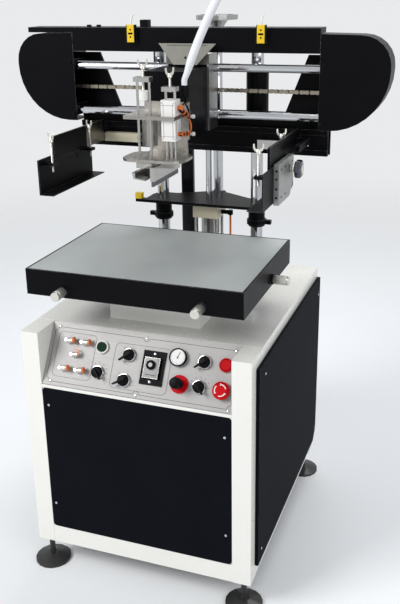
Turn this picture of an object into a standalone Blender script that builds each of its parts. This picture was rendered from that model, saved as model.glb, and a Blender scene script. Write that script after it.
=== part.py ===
# Floor-standing flat-bed screen printing press, seen from its front (-Y), resting on z = 0.
# Lengths are in metres. Pieces are first modelled with y = 0 at the cabinet's front plane.

import math

import bmesh
import bpy
import numpy as np
from mathutils import Matrix, Vector

# Fits and cutters
gap = 0.0003
slip = 0.0004
over = 0.004
lap = 0.001
sheet = 0.002

# Driving dimensions of the stand
cabinet_width = 0.560
cabinet_depth = 0.650
cabinet_top = 0.644
frame_bottom = 0.0716
post_side = 0.045
front_panel_bottom = 0.120
front_panel_top = 0.506
side_panel_bottom = 0.106
side_panel_top = 0.615
side_panel_front = 0.033
side_panel_proud = 0.0087

# Driving dimensions of the bed
bed_width = 0.518
bed_front = 0.012
bed_depth = 0.390
bed_top = 0.796
bed_thickness = 0.061

# Columns, screw and lift
column_x = 0.1335
column_y = 0.537
column_radius = 0.016
column_top = 1.285
screw_y = 0.615
screw_radius = 0.0135
lift_plate_top = 0.850
lift_plate_thickness = 0.008
lift_travel = 0.012
head_travel = 0.120

# Head
head_half_width = 0.480
cover_inner_x = 0.318
cover_front = 0.410
cover_top = 1.287
cover_bottom = 1.067
back_plate_front = 0.478
back_plate_thickness = 0.006
rod_radius = 0.010
rod_y = 0.432
rod_upper_z = 1.206
rod_lower_z = 1.093
chain_pitch = 0.0127
sprocket_teeth = 30
sprocket_z = 1.210
chain_y = 0.459

collection_name = "screen_printing_press"


def make_collection(name):
    """A new collection linked to the scene."""
    found = bpy.data.collections.new(name)
    bpy.context.scene.collection.children.link(found)
    return found


def clear_scene():
    """Removes the objects that the scene starts with."""
    for found in list(bpy.data.objects):
        bpy.data.objects.remove(found, do_unlink=True)


clear_scene()
parts = make_collection(collection_name)
helpers = make_collection("cutters")


# Shapes: each function returns a hidden helper, and fuse turns helpers into a finished piece.


def helper(mesh):
    """A hidden object that holds one shape."""
    found = bpy.data.objects.new("helper", mesh)
    found.hide_render = True
    found.display_type = "WIRE"
    helpers.objects.link(found)
    return found


def from_bmesh(shape):
    """Turns a bmesh into a helper, with its faces out."""
    bmesh.ops.recalc_face_normals(shape, faces=shape.faces)
    mesh = bpy.data.meshes.new("shape")
    shape.to_mesh(mesh)
    shape.free()
    return helper(mesh)


def box(x, y, z, round_radius=0, round_axis=None, segments=2):
    """A block between the low and high of x, y and z, with the edges along one axis rounded if asked."""
    shape = bmesh.new()
    centre = Vector(((x[0] + x[1]) / 2, (y[0] + y[1]) / 2, (z[0] + z[1]) / 2))
    size = (abs(x[1] - x[0]), abs(y[1] - y[0]), abs(z[1] - z[0]), 1)
    bmesh.ops.create_cube(shape, size=1, matrix=Matrix.Translation(centre) @ Matrix.Diagonal(size))
    if round_radius:
        edges = [edge for edge in shape.edges if along(edge, round_axis)]
        bmesh.ops.bevel(
            shape, geom=edges, offset=round_radius, segments=segments, profile=0.5, affect="EDGES"
        )
    return from_bmesh(shape)


def along(edge, axis):
    """Whether an edge runs along the axis, or True when no axis is named."""
    if axis is None:
        return True
    run = (edge.verts[1].co - edge.verts[0].co).normalized()
    return abs(run["XYZ".index(axis)]) > 0.9


def rod(start, end, radius, sides=16, end_radius=None):
    """A cylinder or cone from one point to another."""
    start = Vector(start)
    run = Vector(end) - start
    turn = run.to_track_quat("Z", "Y").to_matrix().to_4x4()
    shape = bmesh.new()
    bmesh.ops.create_cone(
        shape,
        cap_ends=True,
        segments=sides,
        radius1=radius,
        radius2=radius if end_radius is None else end_radius,
        depth=run.length,
        matrix=Matrix.Translation(start + run / 2) @ turn,
    )
    return from_bmesh(shape)


def upright(centre, z, radius, sides=16, end_radius=None):
    """A vertical rod at centre (x, y) between two heights."""
    return rod((*centre, z[0]), (*centre, z[1]), radius, sides, end_radius)


def made_mesh(found):
    """The evaluated mesh of an object, with loose caps welded, as a new helper."""
    graph = bpy.context.evaluated_depsgraph_get()
    mesh = bpy.data.meshes.new_from_object(found.evaluated_get(graph))
    shape = bmesh.new()
    shape.from_mesh(mesh)
    shape.transform(found.matrix_world)
    bmesh.ops.remove_doubles(shape, verts=shape.verts, dist=weld_distance)
    bpy.data.objects.remove(found, do_unlink=True)
    bpy.data.meshes.remove(mesh)
    return from_bmesh(shape)


weld_distance = 0.000005
planes = {
    "X": Matrix(((0, 0, 1), (1, 0, 0), (0, 1, 0))).to_4x4(),
    "Y": Matrix(((1, 0, 0), (0, 0, -1), (0, 1, 0))).to_4x4(),
    "Z": Matrix.Identity(4),
}


def prism(outline, axis, low, high, holes=()):
    """A flat outline, filled and drawn out along an axis from low to high."""
    curve = bpy.data.curves.new("outline", "CURVE")
    curve.dimensions = "2D"
    curve.fill_mode = "BOTH"
    curve.extrude = abs(high - low) / 2
    for ring in (outline, *holes):
        spline = curve.splines.new("POLY")
        spline.points.add(len(ring) - 1)
        for point, (u, v) in zip(spline.points, ring):
            point.co = (u, v, 0, 1)
        spline.use_cyclic_u = True
    found = bpy.data.objects.new("outline", curve)
    helpers.objects.link(found)
    middle = Vector([0, 0, 0])
    middle["XYZ".index(axis)] = (low + high) / 2
    found.matrix_world = Matrix.Translation(middle) @ planes[axis]
    bpy.context.view_layer.update()
    return made_mesh(found)


def arc(centre, radius, first, last, steps):
    """Points of an arc in degrees, both ends included."""
    angles = np.radians(np.linspace(first, last, steps + 1))
    return [(centre[0] + radius * math.cos(a), centre[1] + radius * math.sin(a)) for a in angles]


def rounded_box(u, v, radius, steps=3):
    """The outline of a rectangle with four round corners."""
    points = arc((u[1] - radius, v[0] + radius), radius, -90, 0, steps)
    points += arc((u[1] - radius, v[1] - radius), radius, 0, 90, steps)
    points += arc((u[0] + radius, v[1] - radius), radius, 90, 180, steps)
    points += arc((u[0] + radius, v[0] + radius), radius, 180, 270, steps)
    return points


def turned(profile, place=(0, 0, 0), turn=None, steps=16):
    """A profile of (radius, height), read down its outer side, turned about its own z axis."""
    mesh = bpy.data.meshes.new("profile")
    points = [(radius, 0, height) for radius, height in profile]
    mesh.from_pydata(points, [(i, i + 1) for i in range(len(points) - 1)], [])
    found = bpy.data.objects.new("profile", mesh)
    helpers.objects.link(found)
    spin = found.modifiers.new("turn", "SCREW")
    spin.steps = steps
    spin.render_steps = steps
    spin.use_merge_vertices = True
    spin.merge_threshold = weld_distance
    found.matrix_world = Matrix.Translation(place) @ (turn or Matrix.Identity(4))
    bpy.context.view_layer.update()
    return made_mesh(found)


def tube(points, radius, resolution=2):
    """A round tube along a list of points."""
    curve = bpy.data.curves.new("tube", "CURVE")
    curve.dimensions = "3D"
    curve.bevel_depth = radius
    curve.bevel_resolution = resolution
    curve.use_fill_caps = True
    spline = curve.splines.new("POLY")
    spline.points.add(len(points) - 1)
    for point, co in zip(spline.points, points):
        point.co = (*co, 1)
    found = bpy.data.objects.new("tube", curve)
    helpers.objects.link(found)
    bpy.context.view_layer.update()
    return made_mesh(found)


def combine(base, others, operation):
    """Joins or cuts the base by the other helpers, which are used up."""
    group = bpy.data.collections.new("operands")
    for other in others:
        group.objects.link(other)
    change = base.modifiers.new(operation.lower(), "BOOLEAN")
    change.operation = operation
    change.solver = "EXACT"
    change.operand_type = "COLLECTION"
    change.collection = group
    bpy.context.view_layer.update()
    made = made_mesh(base)
    for other in others:
        bpy.data.objects.remove(other, do_unlink=True)
    bpy.data.collections.remove(group)
    return made


def joined(solids, cuts=()):
    """One helper made of several solids, less the cuts."""
    made = solids[0]
    if len(solids) > 1:
        made = combine(made, solids[1:], "UNION")
    if cuts:
        made = combine(made, list(cuts), "DIFFERENCE")
    return made


def moved(found, matrix):
    """Moves a helper's shape by a matrix."""
    found.data.transform(matrix)
    if matrix.determinant() < 0:
        found.data.flip_normals()
    return found


def copy_of(found, matrix=None):
    """A second helper with the same shape, moved by a matrix if one is given."""
    made = helper(found.data.copy())
    return moved(made, matrix) if matrix else made


mirror_x = Matrix.Scale(-1, 4, (1, 0, 0))

# Colour, roughness and metallic of each finish
finishes = {
    "white_enamel": ((0.86, 0.85, 0.80), 0.35, 0.0),
    "black_enamel": ((0.02, 0.02, 0.022), 0.35, 0.0),
    "black_plastic": ((0.025, 0.025, 0.025), 0.4, 0.0),
    "panel_silver": ((0.62, 0.60, 0.56), 0.4, 0.4),
    "bed_steel": ((0.42, 0.43, 0.42), 0.38, 0.9),
    "chrome": ((0.80, 0.80, 0.80), 0.08, 1.0),
    "zinc": ((0.55, 0.56, 0.55), 0.35, 1.0),
    "aluminium": ((0.70, 0.70, 0.70), 0.35, 1.0),
    "beige_enamel": ((0.70, 0.66, 0.52), 0.4, 0.0),
    "chain_steel": ((0.30, 0.28, 0.16), 0.35, 1.0),
    "hose_white": ((0.85, 0.85, 0.86), 0.4, 0.0),
    "red_plastic": ((0.62, 0.02, 0.03), 0.3, 0.0),
    "green_plastic": ((0.01, 0.13, 0.05), 0.3, 0.0),
}


def finish(name):
    """The material of a finish, made once."""
    if name in bpy.data.materials:
        return bpy.data.materials[name]
    made = bpy.data.materials.new(name)
    made.use_nodes = True
    shader = made.node_tree.nodes["Principled BSDF"]
    colour, roughness, metallic = finishes[name]
    shader.inputs["Base Color"].default_value = (*colour, 1)
    shader.inputs["Roughness"].default_value = roughness
    shader.inputs["Metallic"].default_value = metallic
    made.diffuse_color = (*colour, 1)
    return made


def piece(name, finish_name, solids, cuts=(), axis_point=(0, 0, 0)):
    """A finished, named object with its origin at axis_point."""
    shape = joined(list(solids), cuts)
    mesh = shape.data.copy()
    mesh.name = name
    mesh.transform(Matrix.Translation(-Vector(axis_point)))
    bpy.data.objects.remove(shape, do_unlink=True)
    mesh.shade_smooth()
    mesh.set_sharp_from_angle(angle=math.radians(30))
    mesh.materials.clear()
    mesh.materials.append(finish(finish_name))
    made = bpy.data.objects.new(name, mesh)
    made.location = axis_point
    parts.objects.link(made)
    return made


# Stand: posts, rails, deck, pedestal, rear post and levelling feet, welded as one frame
half_width = cabinet_width / 2
post_inner = half_width - post_side
panel_half = post_inner - gap
rear_post_start = cabinet_depth - post_side
deck_front = 0.083
deck_thickness = 0.003
seat_lip = 0.012
seat_rise = 0.020
cheek_depth = 0.100
cheek_bottom = 0.515
console_bottom = (0.001, 0.516)
console_top = (0.0795, 0.6435)
pedestal_half = 0.115
pedestal_front = 0.139
pedestal_back = 0.330
pedestal_top = 0.685
rear_post_x = (-0.118, -0.082)
rear_post_y = (0.648, 0.636)
rear_post_top = 1.100
foot_radius = 0.045
foot_height = 0.016
foot_rim = 0.006
foot_neck = 0.014
foot_stem = 0.007
foot_nut = 0.012
foot_nut_height = 0.008
cylinder_hole_half = 0.040
hose_hole_radius = 0.006
hose_drop_x = 0.060
panel_corner = 0.010
side_panel_chamfer = 0.030


def cabinet_frame():
    """Posts and rails under a deck, with the sloping console bay open at the front."""
    solids = []
    for side in (-1, 1):
        inner = side * post_inner
        outer = side * half_width
        for low in (0, rear_post_start):
            solids.append(box((inner, outer), (low, low + post_side), (frame_bottom, cabinet_top)))
        solids.append(box((inner, outer), (lap, cheek_depth), (cheek_bottom, cabinet_top - lap)))
        for z in (frame_bottom, cabinet_top - post_side):
            solids.append(
                box(
                    (inner, outer - side * lap / 2),
                    (post_side - lap, rear_post_start + lap),
                    (z + lap / 2, z + post_side - lap / 2),
                )
            )
        for y in (post_side / 2, cabinet_depth - post_side / 2):
            solids += levelling_foot(side * (half_width - post_side / 2), y)
    span = (-post_inner - lap, post_inner + lap)
    low_rail = front_panel_bottom - gap
    front_seat = sheet + gap
    rear_seat = cabinet_depth - sheet - gap
    solids.append(box(span, (lap / 2, post_side - lap), (frame_bottom + lap / 2, low_rail)))
    solids.append(box(span, (front_seat, seat_lip), (low_rail - lap, low_rail + seat_rise)))
    high_rail = front_panel_top + gap
    solids.append(box(span, (lap / 2, front_seat + lap), (high_rail, console_bottom[1] - sheet)))
    solids.append(
        box(span, (front_seat, post_side - lap), (high_rail - seat_rise, console_bottom[1] - sheet))
    )
    back = (rear_post_start + lap, cabinet_depth - lap / 2)
    solids.append(box(span, back, (frame_bottom + lap / 2, low_rail)))
    solids.append(box(span, (rear_seat - seat_lip, rear_seat), (low_rail - lap, low_rail + seat_rise)))
    rear_top = cabinet_top - post_side
    solids.append(box(span, back, (rear_top + lap, cabinet_top - lap)))
    solids.append(box(span, (rear_seat - seat_lip, rear_seat), (rear_top - seat_rise, rear_top + lap * 2)))
    deck_low = cabinet_top - deck_thickness
    deck_x = half_width - lap / 2
    solids.append(box((-deck_x, deck_x), (deck_front, cabinet_depth - lap), (deck_low, cabinet_top)))
    solids.append(
        box(
            (-pedestal_half, pedestal_half),
            (pedestal_front, pedestal_back),
            (deck_low + lap / 2, pedestal_top),
        )
    )
    solids.append(box(rear_post_x, (rear_post_y[1], rear_post_y[0] - lap), (deck_low + lap / 2, rear_post_top)))
    cuts = [
        box(
            (-cylinder_hole_half, cylinder_hole_half),
            (column_y - cylinder_hole_half, column_y + cylinder_hole_half),
            (deck_low - over, cabinet_top + over),
        ),
        upright(
            (hose_drop_x, column_y), (deck_low - over, cabinet_top + over), hose_hole_radius, sides=12
        ),
    ]
    return piece("cabinet_frame", "white_enamel", solids, cuts)


def levelling_foot(x, y):
    """A round foot, its stem and lock nut."""
    profile = [
        (0, frame_bottom + lap * 2),
        (foot_stem, frame_bottom + lap * 2),
        (foot_stem, foot_height),
        (foot_neck, foot_height),
        (foot_radius, foot_rim),
        (foot_radius, 0),
        (0, 0),
    ]
    nut_low = frame_bottom - foot_nut_height
    return [
        turned(profile, (x, y, 0), steps=16),
        upright((x, y), (nut_low, frame_bottom + lap), foot_nut, sides=6),
    ]


def flat_panels():
    """The front panel, the slotted rear panel and the two folded side panels."""
    front = rounded_box((-panel_half, panel_half), (front_panel_bottom, front_panel_top), panel_corner)
    piece("front_panel", "black_enamel", [prism(front, "Y", 0, sheet)])
    rear_top = cabinet_top - post_side
    rear = rounded_box((-panel_half, panel_half), (front_panel_bottom, rear_top), panel_corner)
    slots = []
    for row in range(vent_rows):
        z = front_panel_bottom + vent_start + row * vent_step
        slot = (z, z + vent_height)
        slots.append(
            box((-vent_half, vent_half), (cabinet_depth - sheet - over, cabinet_depth + over), slot)
        )
    piece("rear_panel", "black_enamel", [prism(rear, "Y", cabinet_depth - sheet, cabinet_depth)], slots)
    for name, side in (("left", -1), ("right", 1)):
        seat = side * (half_width + gap)
        face = side * (half_width + side_panel_proud)
        fold = side * (half_width + side_panel_proud - sheet)
        tray = prism(side_outline(0), "X", seat, face)
        hollow = prism(side_outline(sheet), "X", seat - side * over, fold)
        piece(name + "_side_panel", "black_enamel", [tray], [hollow])


vent_rows = 6
vent_start = 0.080
vent_step = 0.016
vent_height = 0.006
vent_half = 0.060


def side_outline(inset):
    """The side panel's outline, with its lower rear corner cut off, drawn in by an inset."""
    front = side_panel_front + inset
    back = cabinet_depth - inset
    low = side_panel_bottom + inset
    high = side_panel_top - inset
    cut = side_panel_chamfer
    return [(front, low), (back - cut, low), (back, low + cut), (back, high), (front, high)]


column_flange = 0.030
column_flange_height = 0.012


def guide_columns():
    """Two chrome columns that stand on the deck by a flange."""
    foot = cabinet_top + gap
    for name, x in (("left", -column_x), ("right", column_x)):
        profile = [
            (0, column_top),
            (column_radius, column_top),
            (column_radius, foot + column_flange_height),
            (column_flange, foot + column_flange_height),
            (column_flange, foot),
            (0, foot),
        ]
        piece(name + "_guide_column", "chrome", [turned(profile, (x, column_y, 0))])


# Console: a sloping plate; places on it are (x, distance up the slope from its middle)
console_run = Vector((0, console_top[0] - console_bottom[0], console_top[1] - console_bottom[1]))
console_length = console_run.length
console_up = console_run.normalized()
console_out = Vector((0, -console_up.z, console_up.y))
console_middle = Vector((0, *console_bottom)) + console_run / 2
console_turn = Matrix(((1, 0, 0), (0, console_up.y, console_out.y), (0, console_up.z, console_out.z)))
console_frame = Matrix.Translation(console_middle) @ console_turn.to_4x4()
bezel_radius = 0.0150
bezel_height = 0.004
button_radius = 0.0115
button_rise = 0.003
button_travel = 0.004
button_depth = 0.012
switch_places = {
    "green_button": (-0.097, 0.029),
    "red_button": (0.206, 0.028),
    "left_selector": (-0.026, 0.020),
    "middle_selector": (-0.029, -0.039),
    "right_selector": (0.156, 0.028),
    "left_dial_knob": (-0.097, -0.030),
    "right_dial_knob": (0.152, -0.028),
    "regulator_knob": (0.105, -0.0285),
    "emergency_stop": (0.206, -0.029),
}
knob_radius = 0.0110
knob_height = 0.012
handle_width = 0.008
handle_reach = 0.026
handle_height = 0.018
handle_degrees = {
    "left_selector": 215,
    "middle_selector": 215,
    "right_selector": 215,
    "left_dial_knob": 305,
    "right_dial_knob": 305,
}
regulator_radius = 0.0155
regulator_height = 0.034
regulator_ring = 0.021
stop_radius = 0.020
stop_rise = 0.016
stop_head = 0.011
stop_travel = 0.004
stop_neck = 0.0100
gauge_place = (0.093, 0.030)
gauge_radius = 0.020
gauge_height = 0.008
timer_x = (0.0085, 0.0635)
timer_v = (-0.041, 0.037)
timer_bracket_height = 0.003
timer_face_x = (0.0165, 0.0535)
timer_face_v = (-0.026, 0.021)
timer_height = 0.010
timer_dial_place = (0.034, 0.004)
timer_dial_radius = 0.011
timer_dial_height = 0.014
valve_places = [(-0.183, 0.033), (-0.143, 0.033), (-0.163, 0.002), (-0.186, -0.033), (-0.145, -0.033)]
valve_radius = 0.005
valve_height = 0.012
valve_block = (0.016, 0.008)


def on_console(x, v, height):
    """A point at a height above the console plate."""
    return console_frame @ Vector((x, v, height))


def console_rod(place, low, high, radius, sides=16, end_radius=None):
    """A rod square to the console between two heights above it."""
    return rod(on_console(*place, low), on_console(*place, high), radius, sides, end_radius)


def console_box(x, v, height):
    """A block lined up with the console."""
    return moved(box(x, v, height), console_frame)


def control_panel():
    """The plate, the bezels that the controls sit in, the gauge, the timer and five small valves."""
    half = console_length / 2
    solids = [console_box((-panel_half, panel_half), (-half, half), (-sheet, 0))]
    for name, place in switch_places.items():
        if name == "regulator_knob":
            solids.append(console_rod(place, -lap, bezel_height, regulator_ring, 16))
        else:
            solids.append(console_rod(place, -lap, bezel_height, bezel_radius, 16))
    solids.append(console_rod(gauge_place, -lap, gauge_height, gauge_radius, 16))
    solids.append(console_box(timer_x, timer_v, (-lap, timer_bracket_height)))
    solids.append(console_box(timer_face_x, timer_face_v, (-lap, timer_height)))
    solids.append(console_rod(timer_dial_place, 0, timer_dial_height, timer_dial_radius, 16))
    for x, v in valve_places:
        half_x, half_v = valve_block[0] / 2, valve_block[1] / 2
        solids.append(console_box((x - half_x, x + half_x), (v - half_v, v + half_v), (-lap, half_v)))
        solids.append(console_rod((x, v), 0, valve_height, valve_radius * knob_waist_share, 8))
    cuts = []
    for name in ("green_button", "red_button"):
        cuts.append(console_rod(switch_places[name], -over, bezel_height + over, button_radius + slip))
    cuts.append(
        console_rod(switch_places["emergency_stop"], -over, bezel_height + over, stop_neck + slip)
    )
    return piece("control_panel", "panel_silver", solids, cuts)


knob_waist_share = 0.7


def controls():
    """The buttons, the selector handles, the dial knobs, the regulator knob and the emergency stop."""
    for name, colour in (("green_button", "green_plastic"), ("red_button", "red_plastic")):
        place = switch_places[name]
        top = bezel_height + button_rise
        cap = console_rod(place, top - button_depth, top, button_radius, 16)
        piece(name, colour, [cap], axis_point=on_console(*place, 0))
    foot = bezel_height + gap
    for name, degrees in handle_degrees.items():
        place = switch_places[name]
        way = Vector((math.cos(math.radians(degrees)), math.sin(math.radians(degrees)), 0))
        across = Vector((-way.y, way.x, 0)) * handle_width / 2
        tail = -way * knob_radius * knob_waist_share
        tip = way * handle_reach
        outline = [tail - across, tip - across / 2, tip + across / 2, tail + across]
        handle = prism([(p.x, p.y) for p in outline], "Z", foot + lap, foot + handle_height)
        seat = console_frame @ Matrix.Translation((*place, 0))
        knob = console_rod(place, foot, foot + knob_height, knob_radius, 16)
        piece(name, "black_plastic", [knob, moved(handle, seat)], axis_point=on_console(*place, 0))
    place = switch_places["regulator_knob"]
    waist = regulator_radius * knob_waist_share
    top = foot + regulator_height
    solids = [
        console_rod(place, foot, foot + regulator_height / 2, waist, 16),
        console_rod(place, foot + regulator_height / 3, top, regulator_radius, 16),
    ]
    piece("regulator_knob", "black_plastic", solids, axis_point=on_console(*place, 0))
    place = switch_places["emergency_stop"]
    head = bezel_height + stop_travel + gap
    profile = [
        (0, head + stop_head),
        (stop_radius * knob_waist_share, head + stop_head),
        (stop_radius, head + stop_head / 2),
        (stop_radius, head),
        (stop_neck, head),
        (stop_neck, -button_depth),
        (0, -button_depth),
    ]
    solids = [turned(profile, (*place, 0))]
    moved(solids[0], console_frame)
    piece("emergency_stop", "red_plastic", solids, axis_point=on_console(*place, 0))


# Lift stage: a plate with clamps on the columns, and the air cylinder that hangs from it
plate_front = 0.475
plate_half = 0.165
plate_shoulder = 0.500
plate_arm_x = -0.190
plate_arm_back = 0.494
plate_back_x = 0.104
plate_back_y = 0.566
column_lobe = 0.0315
screw_lobe = 0.0215
hub_radius = 0.022
hub_bottom = 0.785
collar_radius = 0.026
collar_z = (0.790, 0.803)
ear_x = 0.040
ear_half = 0.006
cap_half = 0.035
cap_bottom = 0.803
barrel_radius = 0.022
barrel_bottom = 0.600
tie_place = 0.027
tie_radius = 0.004
foot_cap_bottom = 0.565
piston_radius = 0.00825
elbow_z = 0.815
elbow_radius = 0.006
hose_radius = 0.003
hose_bottom = 0.560


def lift_plate():
    """A flat plate lobed round the columns and the screw, with a sensor arm and two clamp hubs."""
    low = lift_plate_top - lift_plate_thickness
    right = [(plate_half, plate_front), (plate_half, column_y)]
    right += arc((column_x, column_y), column_lobe, 0, 90, 3)
    right += [(plate_back_x, plate_back_y + lap)]
    lobe = arc((0, screw_y), screw_lobe, 0, 180, 6)
    left = [(-plate_back_x, plate_back_y + lap)]
    left += arc((-column_x, column_y), column_lobe, 90, 180, 3)
    left += [(-plate_half, plate_arm_back), (plate_arm_x, plate_arm_back), (plate_arm_x, plate_front)]
    solids = [prism(right + lobe + left, "Z", low, lift_plate_top)]
    cuts = [
        upright((0, screw_y), (low - over, lift_plate_top + over), screw_radius + slip, 16),
        upright((0, column_y), (low - over, lift_plate_top + over), piston_radius + slip, 16),
    ]
    for side in (-1, 1):
        centre = (side * column_x, column_y)
        solids.append(upright(centre, (hub_bottom, low + lap), hub_radius, 16))
        solids.append(upright(centre, collar_z, collar_radius, 16))
        ears = (side * (column_x + column_radius + lap), side * (column_x + ear_x))
        solids.append(box(ears, (column_y - ear_half, column_y + ear_half), (collar_z[0] + lap, collar_z[1] - lap)))
        cuts.append(upright(centre, (hub_bottom - over, lift_plate_top + over), column_radius + slip, 16))
    return piece("lift_plate", "black_enamel", solids, cuts)


def lift_cylinder():
    """The cylinder's square caps, barrel and tie rods, with an elbow and its air line at the side."""
    top = lift_plate_top - lift_plate_thickness - gap
    solids = [
        box((-cap_half, cap_half), (column_y - cap_half, column_y + cap_half), (cap_bottom, top)),
        box(
            (-cap_half, cap_half),
            (column_y - cap_half, column_y + cap_half),
            (foot_cap_bottom, barrel_bottom),
        ),
        upright((0, column_y), (barrel_bottom - lap, cap_bottom + lap), barrel_radius, 16),
    ]
    for x in (-tie_place, tie_place):
        for y in (column_y - tie_place, column_y + tie_place):
            solids.append(upright((x, y), (barrel_bottom - lap, cap_bottom + lap), tie_radius, 8))
    solids.append(rod((cap_half - lap, column_y, elbow_z), (hose_drop_x, column_y, elbow_z), elbow_radius, 10))
    solids.append(upright((hose_drop_x, column_y), (elbow_z - elbow_radius, elbow_z + elbow_radius), elbow_radius * hose_socket_share, 10))
    solids.append(upright((hose_drop_x, column_y), (hose_bottom, elbow_z), hose_radius, 8))
    bore = upright(
        (0, column_y), (piston_bottom - head_travel - over, top + over), piston_radius + slip, 16
    )
    return piece("lift_cylinder", "beige_enamel", solids, [bore])


hose_socket_share = 1.2
piston_bottom = 0.812
shelf_z = (1.000, 1.012)


def piston_rod():
    """The chrome rod, from inside the cylinder up to the head's shelf."""
    rod_shape = upright((0, column_y), (piston_bottom, shelf_z[0] - gap), piston_radius, 16)
    return piece("piston_rod", "chrome", [rod_shape])


wheel_radius = 0.055
wheel_z = (1.310, 1.322)
wheel_rim = 0.010
wheel_hub = 0.030
wheel_hub_bottom = 1.292
wheel_neck = 0.017
wheel_bore = 0.008
screw_shoulder = 1.290
screw_flange = 0.026
spoke_half = 0.007


def height_screw():
    """The long screw behind the columns and the handwheel that turns it."""
    foot = cabinet_top + gap
    profile = [
        (0, wheel_z[1] + sheet),
        (wheel_bore, wheel_z[1] + sheet),
        (wheel_bore, screw_shoulder),
        (screw_radius, screw_shoulder),
        (screw_radius, foot + column_flange_height),
        (screw_flange, foot + column_flange_height),
        (screw_flange, foot),
        (0, foot),
    ]
    piece("height_screw", "chrome", [turned(profile, (0, screw_y, 0))], axis_point=(0, screw_y, 0))
    low = screw_shoulder + gap
    hub = [
        (0, wheel_z[1]),
        (wheel_hub, wheel_z[1]),
        (wheel_hub, wheel_z[0]),
        (wheel_neck, wheel_hub_bottom),
        (wheel_neck, low),
        (0, low),
    ]
    inner = wheel_radius - wheel_rim
    rim = [(wheel_radius, wheel_z[1]), (wheel_radius, wheel_z[0]), (inner, wheel_z[0])]
    rim += [(inner, wheel_z[1]), (wheel_radius, wheel_z[1])]
    solids = [turned(hub, (0, screw_y, 0)), turned(rim, (0, screw_y, 0))]
    web = (wheel_z[0] + lap, wheel_z[1] - lap)
    for index in range(3):
        spin = Matrix.Translation((0, screw_y, 0)) @ Matrix.Rotation(index * math.tau / 3, 4, "Z")
        solids.append(moved(box((wheel_hub - lap * 2, inner + lap * 2), (-spoke_half, spoke_half), web), spin))
    bore = upright((0, screw_y), (low - over, wheel_z[1] + over), wheel_bore + slip, 16)
    piece("handwheel", "aluminium", solids, [bore], axis_point=(0, screw_y, 0))


# Bed: a steel plate in a black tray, on two crossed stages and a pivot, moved by three adjusters
stage_thickness = 0.014
stage_half = 0.100
stage_front = 0.150
stage_back = 0.320
tray_wall = 0.004
plate_thickness = 0.004
plate_margin = 0.005
pivot_y = 0.225
pivot_radius = 0.030
adjuster_radius = 0.0110
adjuster_screw = 0.003
adjuster_boss = 0.012
adjuster_boss_reach = 0.006
adjuster_tip = 0.042
adjuster_inner = 0.030
adjuster_ribs = 10
front_adjuster_x = 0.164
front_adjuster_z = 0.752
side_adjuster_y = 0.228
rib_share = 0.93


def bed():
    """The stages, the tray with its pivot, the plate let into it, and the knobs."""
    low = pedestal_top + gap
    span_x = (-stage_half, stage_half)
    span_y = (stage_front, stage_back)
    piece("lower_stage", "zinc", [box(span_x, span_y, (low, low + stage_thickness))])
    low += stage_thickness + gap
    piece("upper_stage", "zinc", [box(span_x, span_y, (low, low + stage_thickness))])
    low += stage_thickness + gap
    half = bed_width / 2
    back = bed_front + bed_depth
    bottom = bed_top - bed_thickness
    recess = bed_top - plate_thickness - gap
    ceiling = recess - tray_wall
    inner_x = (-half + tray_wall, half - tray_wall)
    inner_y = (bed_front + tray_wall, back - tray_wall)
    tray = joined(
        [box((-half, half), (bed_front, back), (bottom, bed_top))],
        [box(inner_x, inner_y, (bottom - over, ceiling))],
    )
    edge = plate_margin - gap
    cuts = [box((-half + edge, half - edge), (bed_front + edge, back - edge), (recess, bed_top + over))]
    solids = [tray, upright((0, pivot_y), (low, ceiling + lap), pivot_radius, 16)]
    for start, way in adjuster_places().values():
        inward = -way * (tray_wall + over)
        solids.append(rod(start - way * tray_wall / 2, start + way * adjuster_boss_reach, adjuster_boss, 16))
        cuts.append(rod(start + inward, start + way * (adjuster_boss_reach + over), adjuster_screw + slip, 12))
    piece("bed_tray", "black_enamel", solids, cuts, axis_point=(0, pivot_y, 0))
    margin = plate_margin
    top = box((-half + margin, half - margin), (bed_front + margin, back - margin), (recess + gap, bed_top))
    piece("bed_plate", "bed_steel", [top], axis_point=(0, pivot_y, 0))
    for name, (start, way) in adjuster_places().items():
        seat = start + way * (adjuster_boss_reach + gap)
        shape = joined([rod(seat, start + way * adjuster_tip, adjuster_radius, adjuster_ribs * 2)])
        for vertex in shape.data.vertices:
            flat = vertex.co - start
            flat -= way * flat.dot(way)
            if rib_index(flat, way) % 2:
                vertex.co -= flat * (1 - rib_share)
        screw = rod(start - way * adjuster_inner, seat + way * lap, adjuster_screw, 10)
        piece(name, "zinc", [shape, screw], axis_point=start)


def rib_index(flat, way):
    """Which corner of the knurled knob a point belongs to."""
    side = Vector((0, 0, 1)).cross(way)
    angle = math.atan2(flat.z, flat.dot(side))
    return round(angle / math.tau * adjuster_ribs * 2)


def adjuster_places():
    """Where each adjuster's axis leaves the tray wall, and the way it points."""
    half = bed_width / 2
    return {
        "left_front_adjuster": (Vector((-front_adjuster_x, bed_front, front_adjuster_z)), Vector((0, -1, 0))),
        "right_front_adjuster": (Vector((front_adjuster_x, bed_front, front_adjuster_z)), Vector((0, -1, 0))),
        "side_adjuster": (Vector((half, side_adjuster_y, front_adjuster_z)), Vector((1, 0, 0))),
    }


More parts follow.
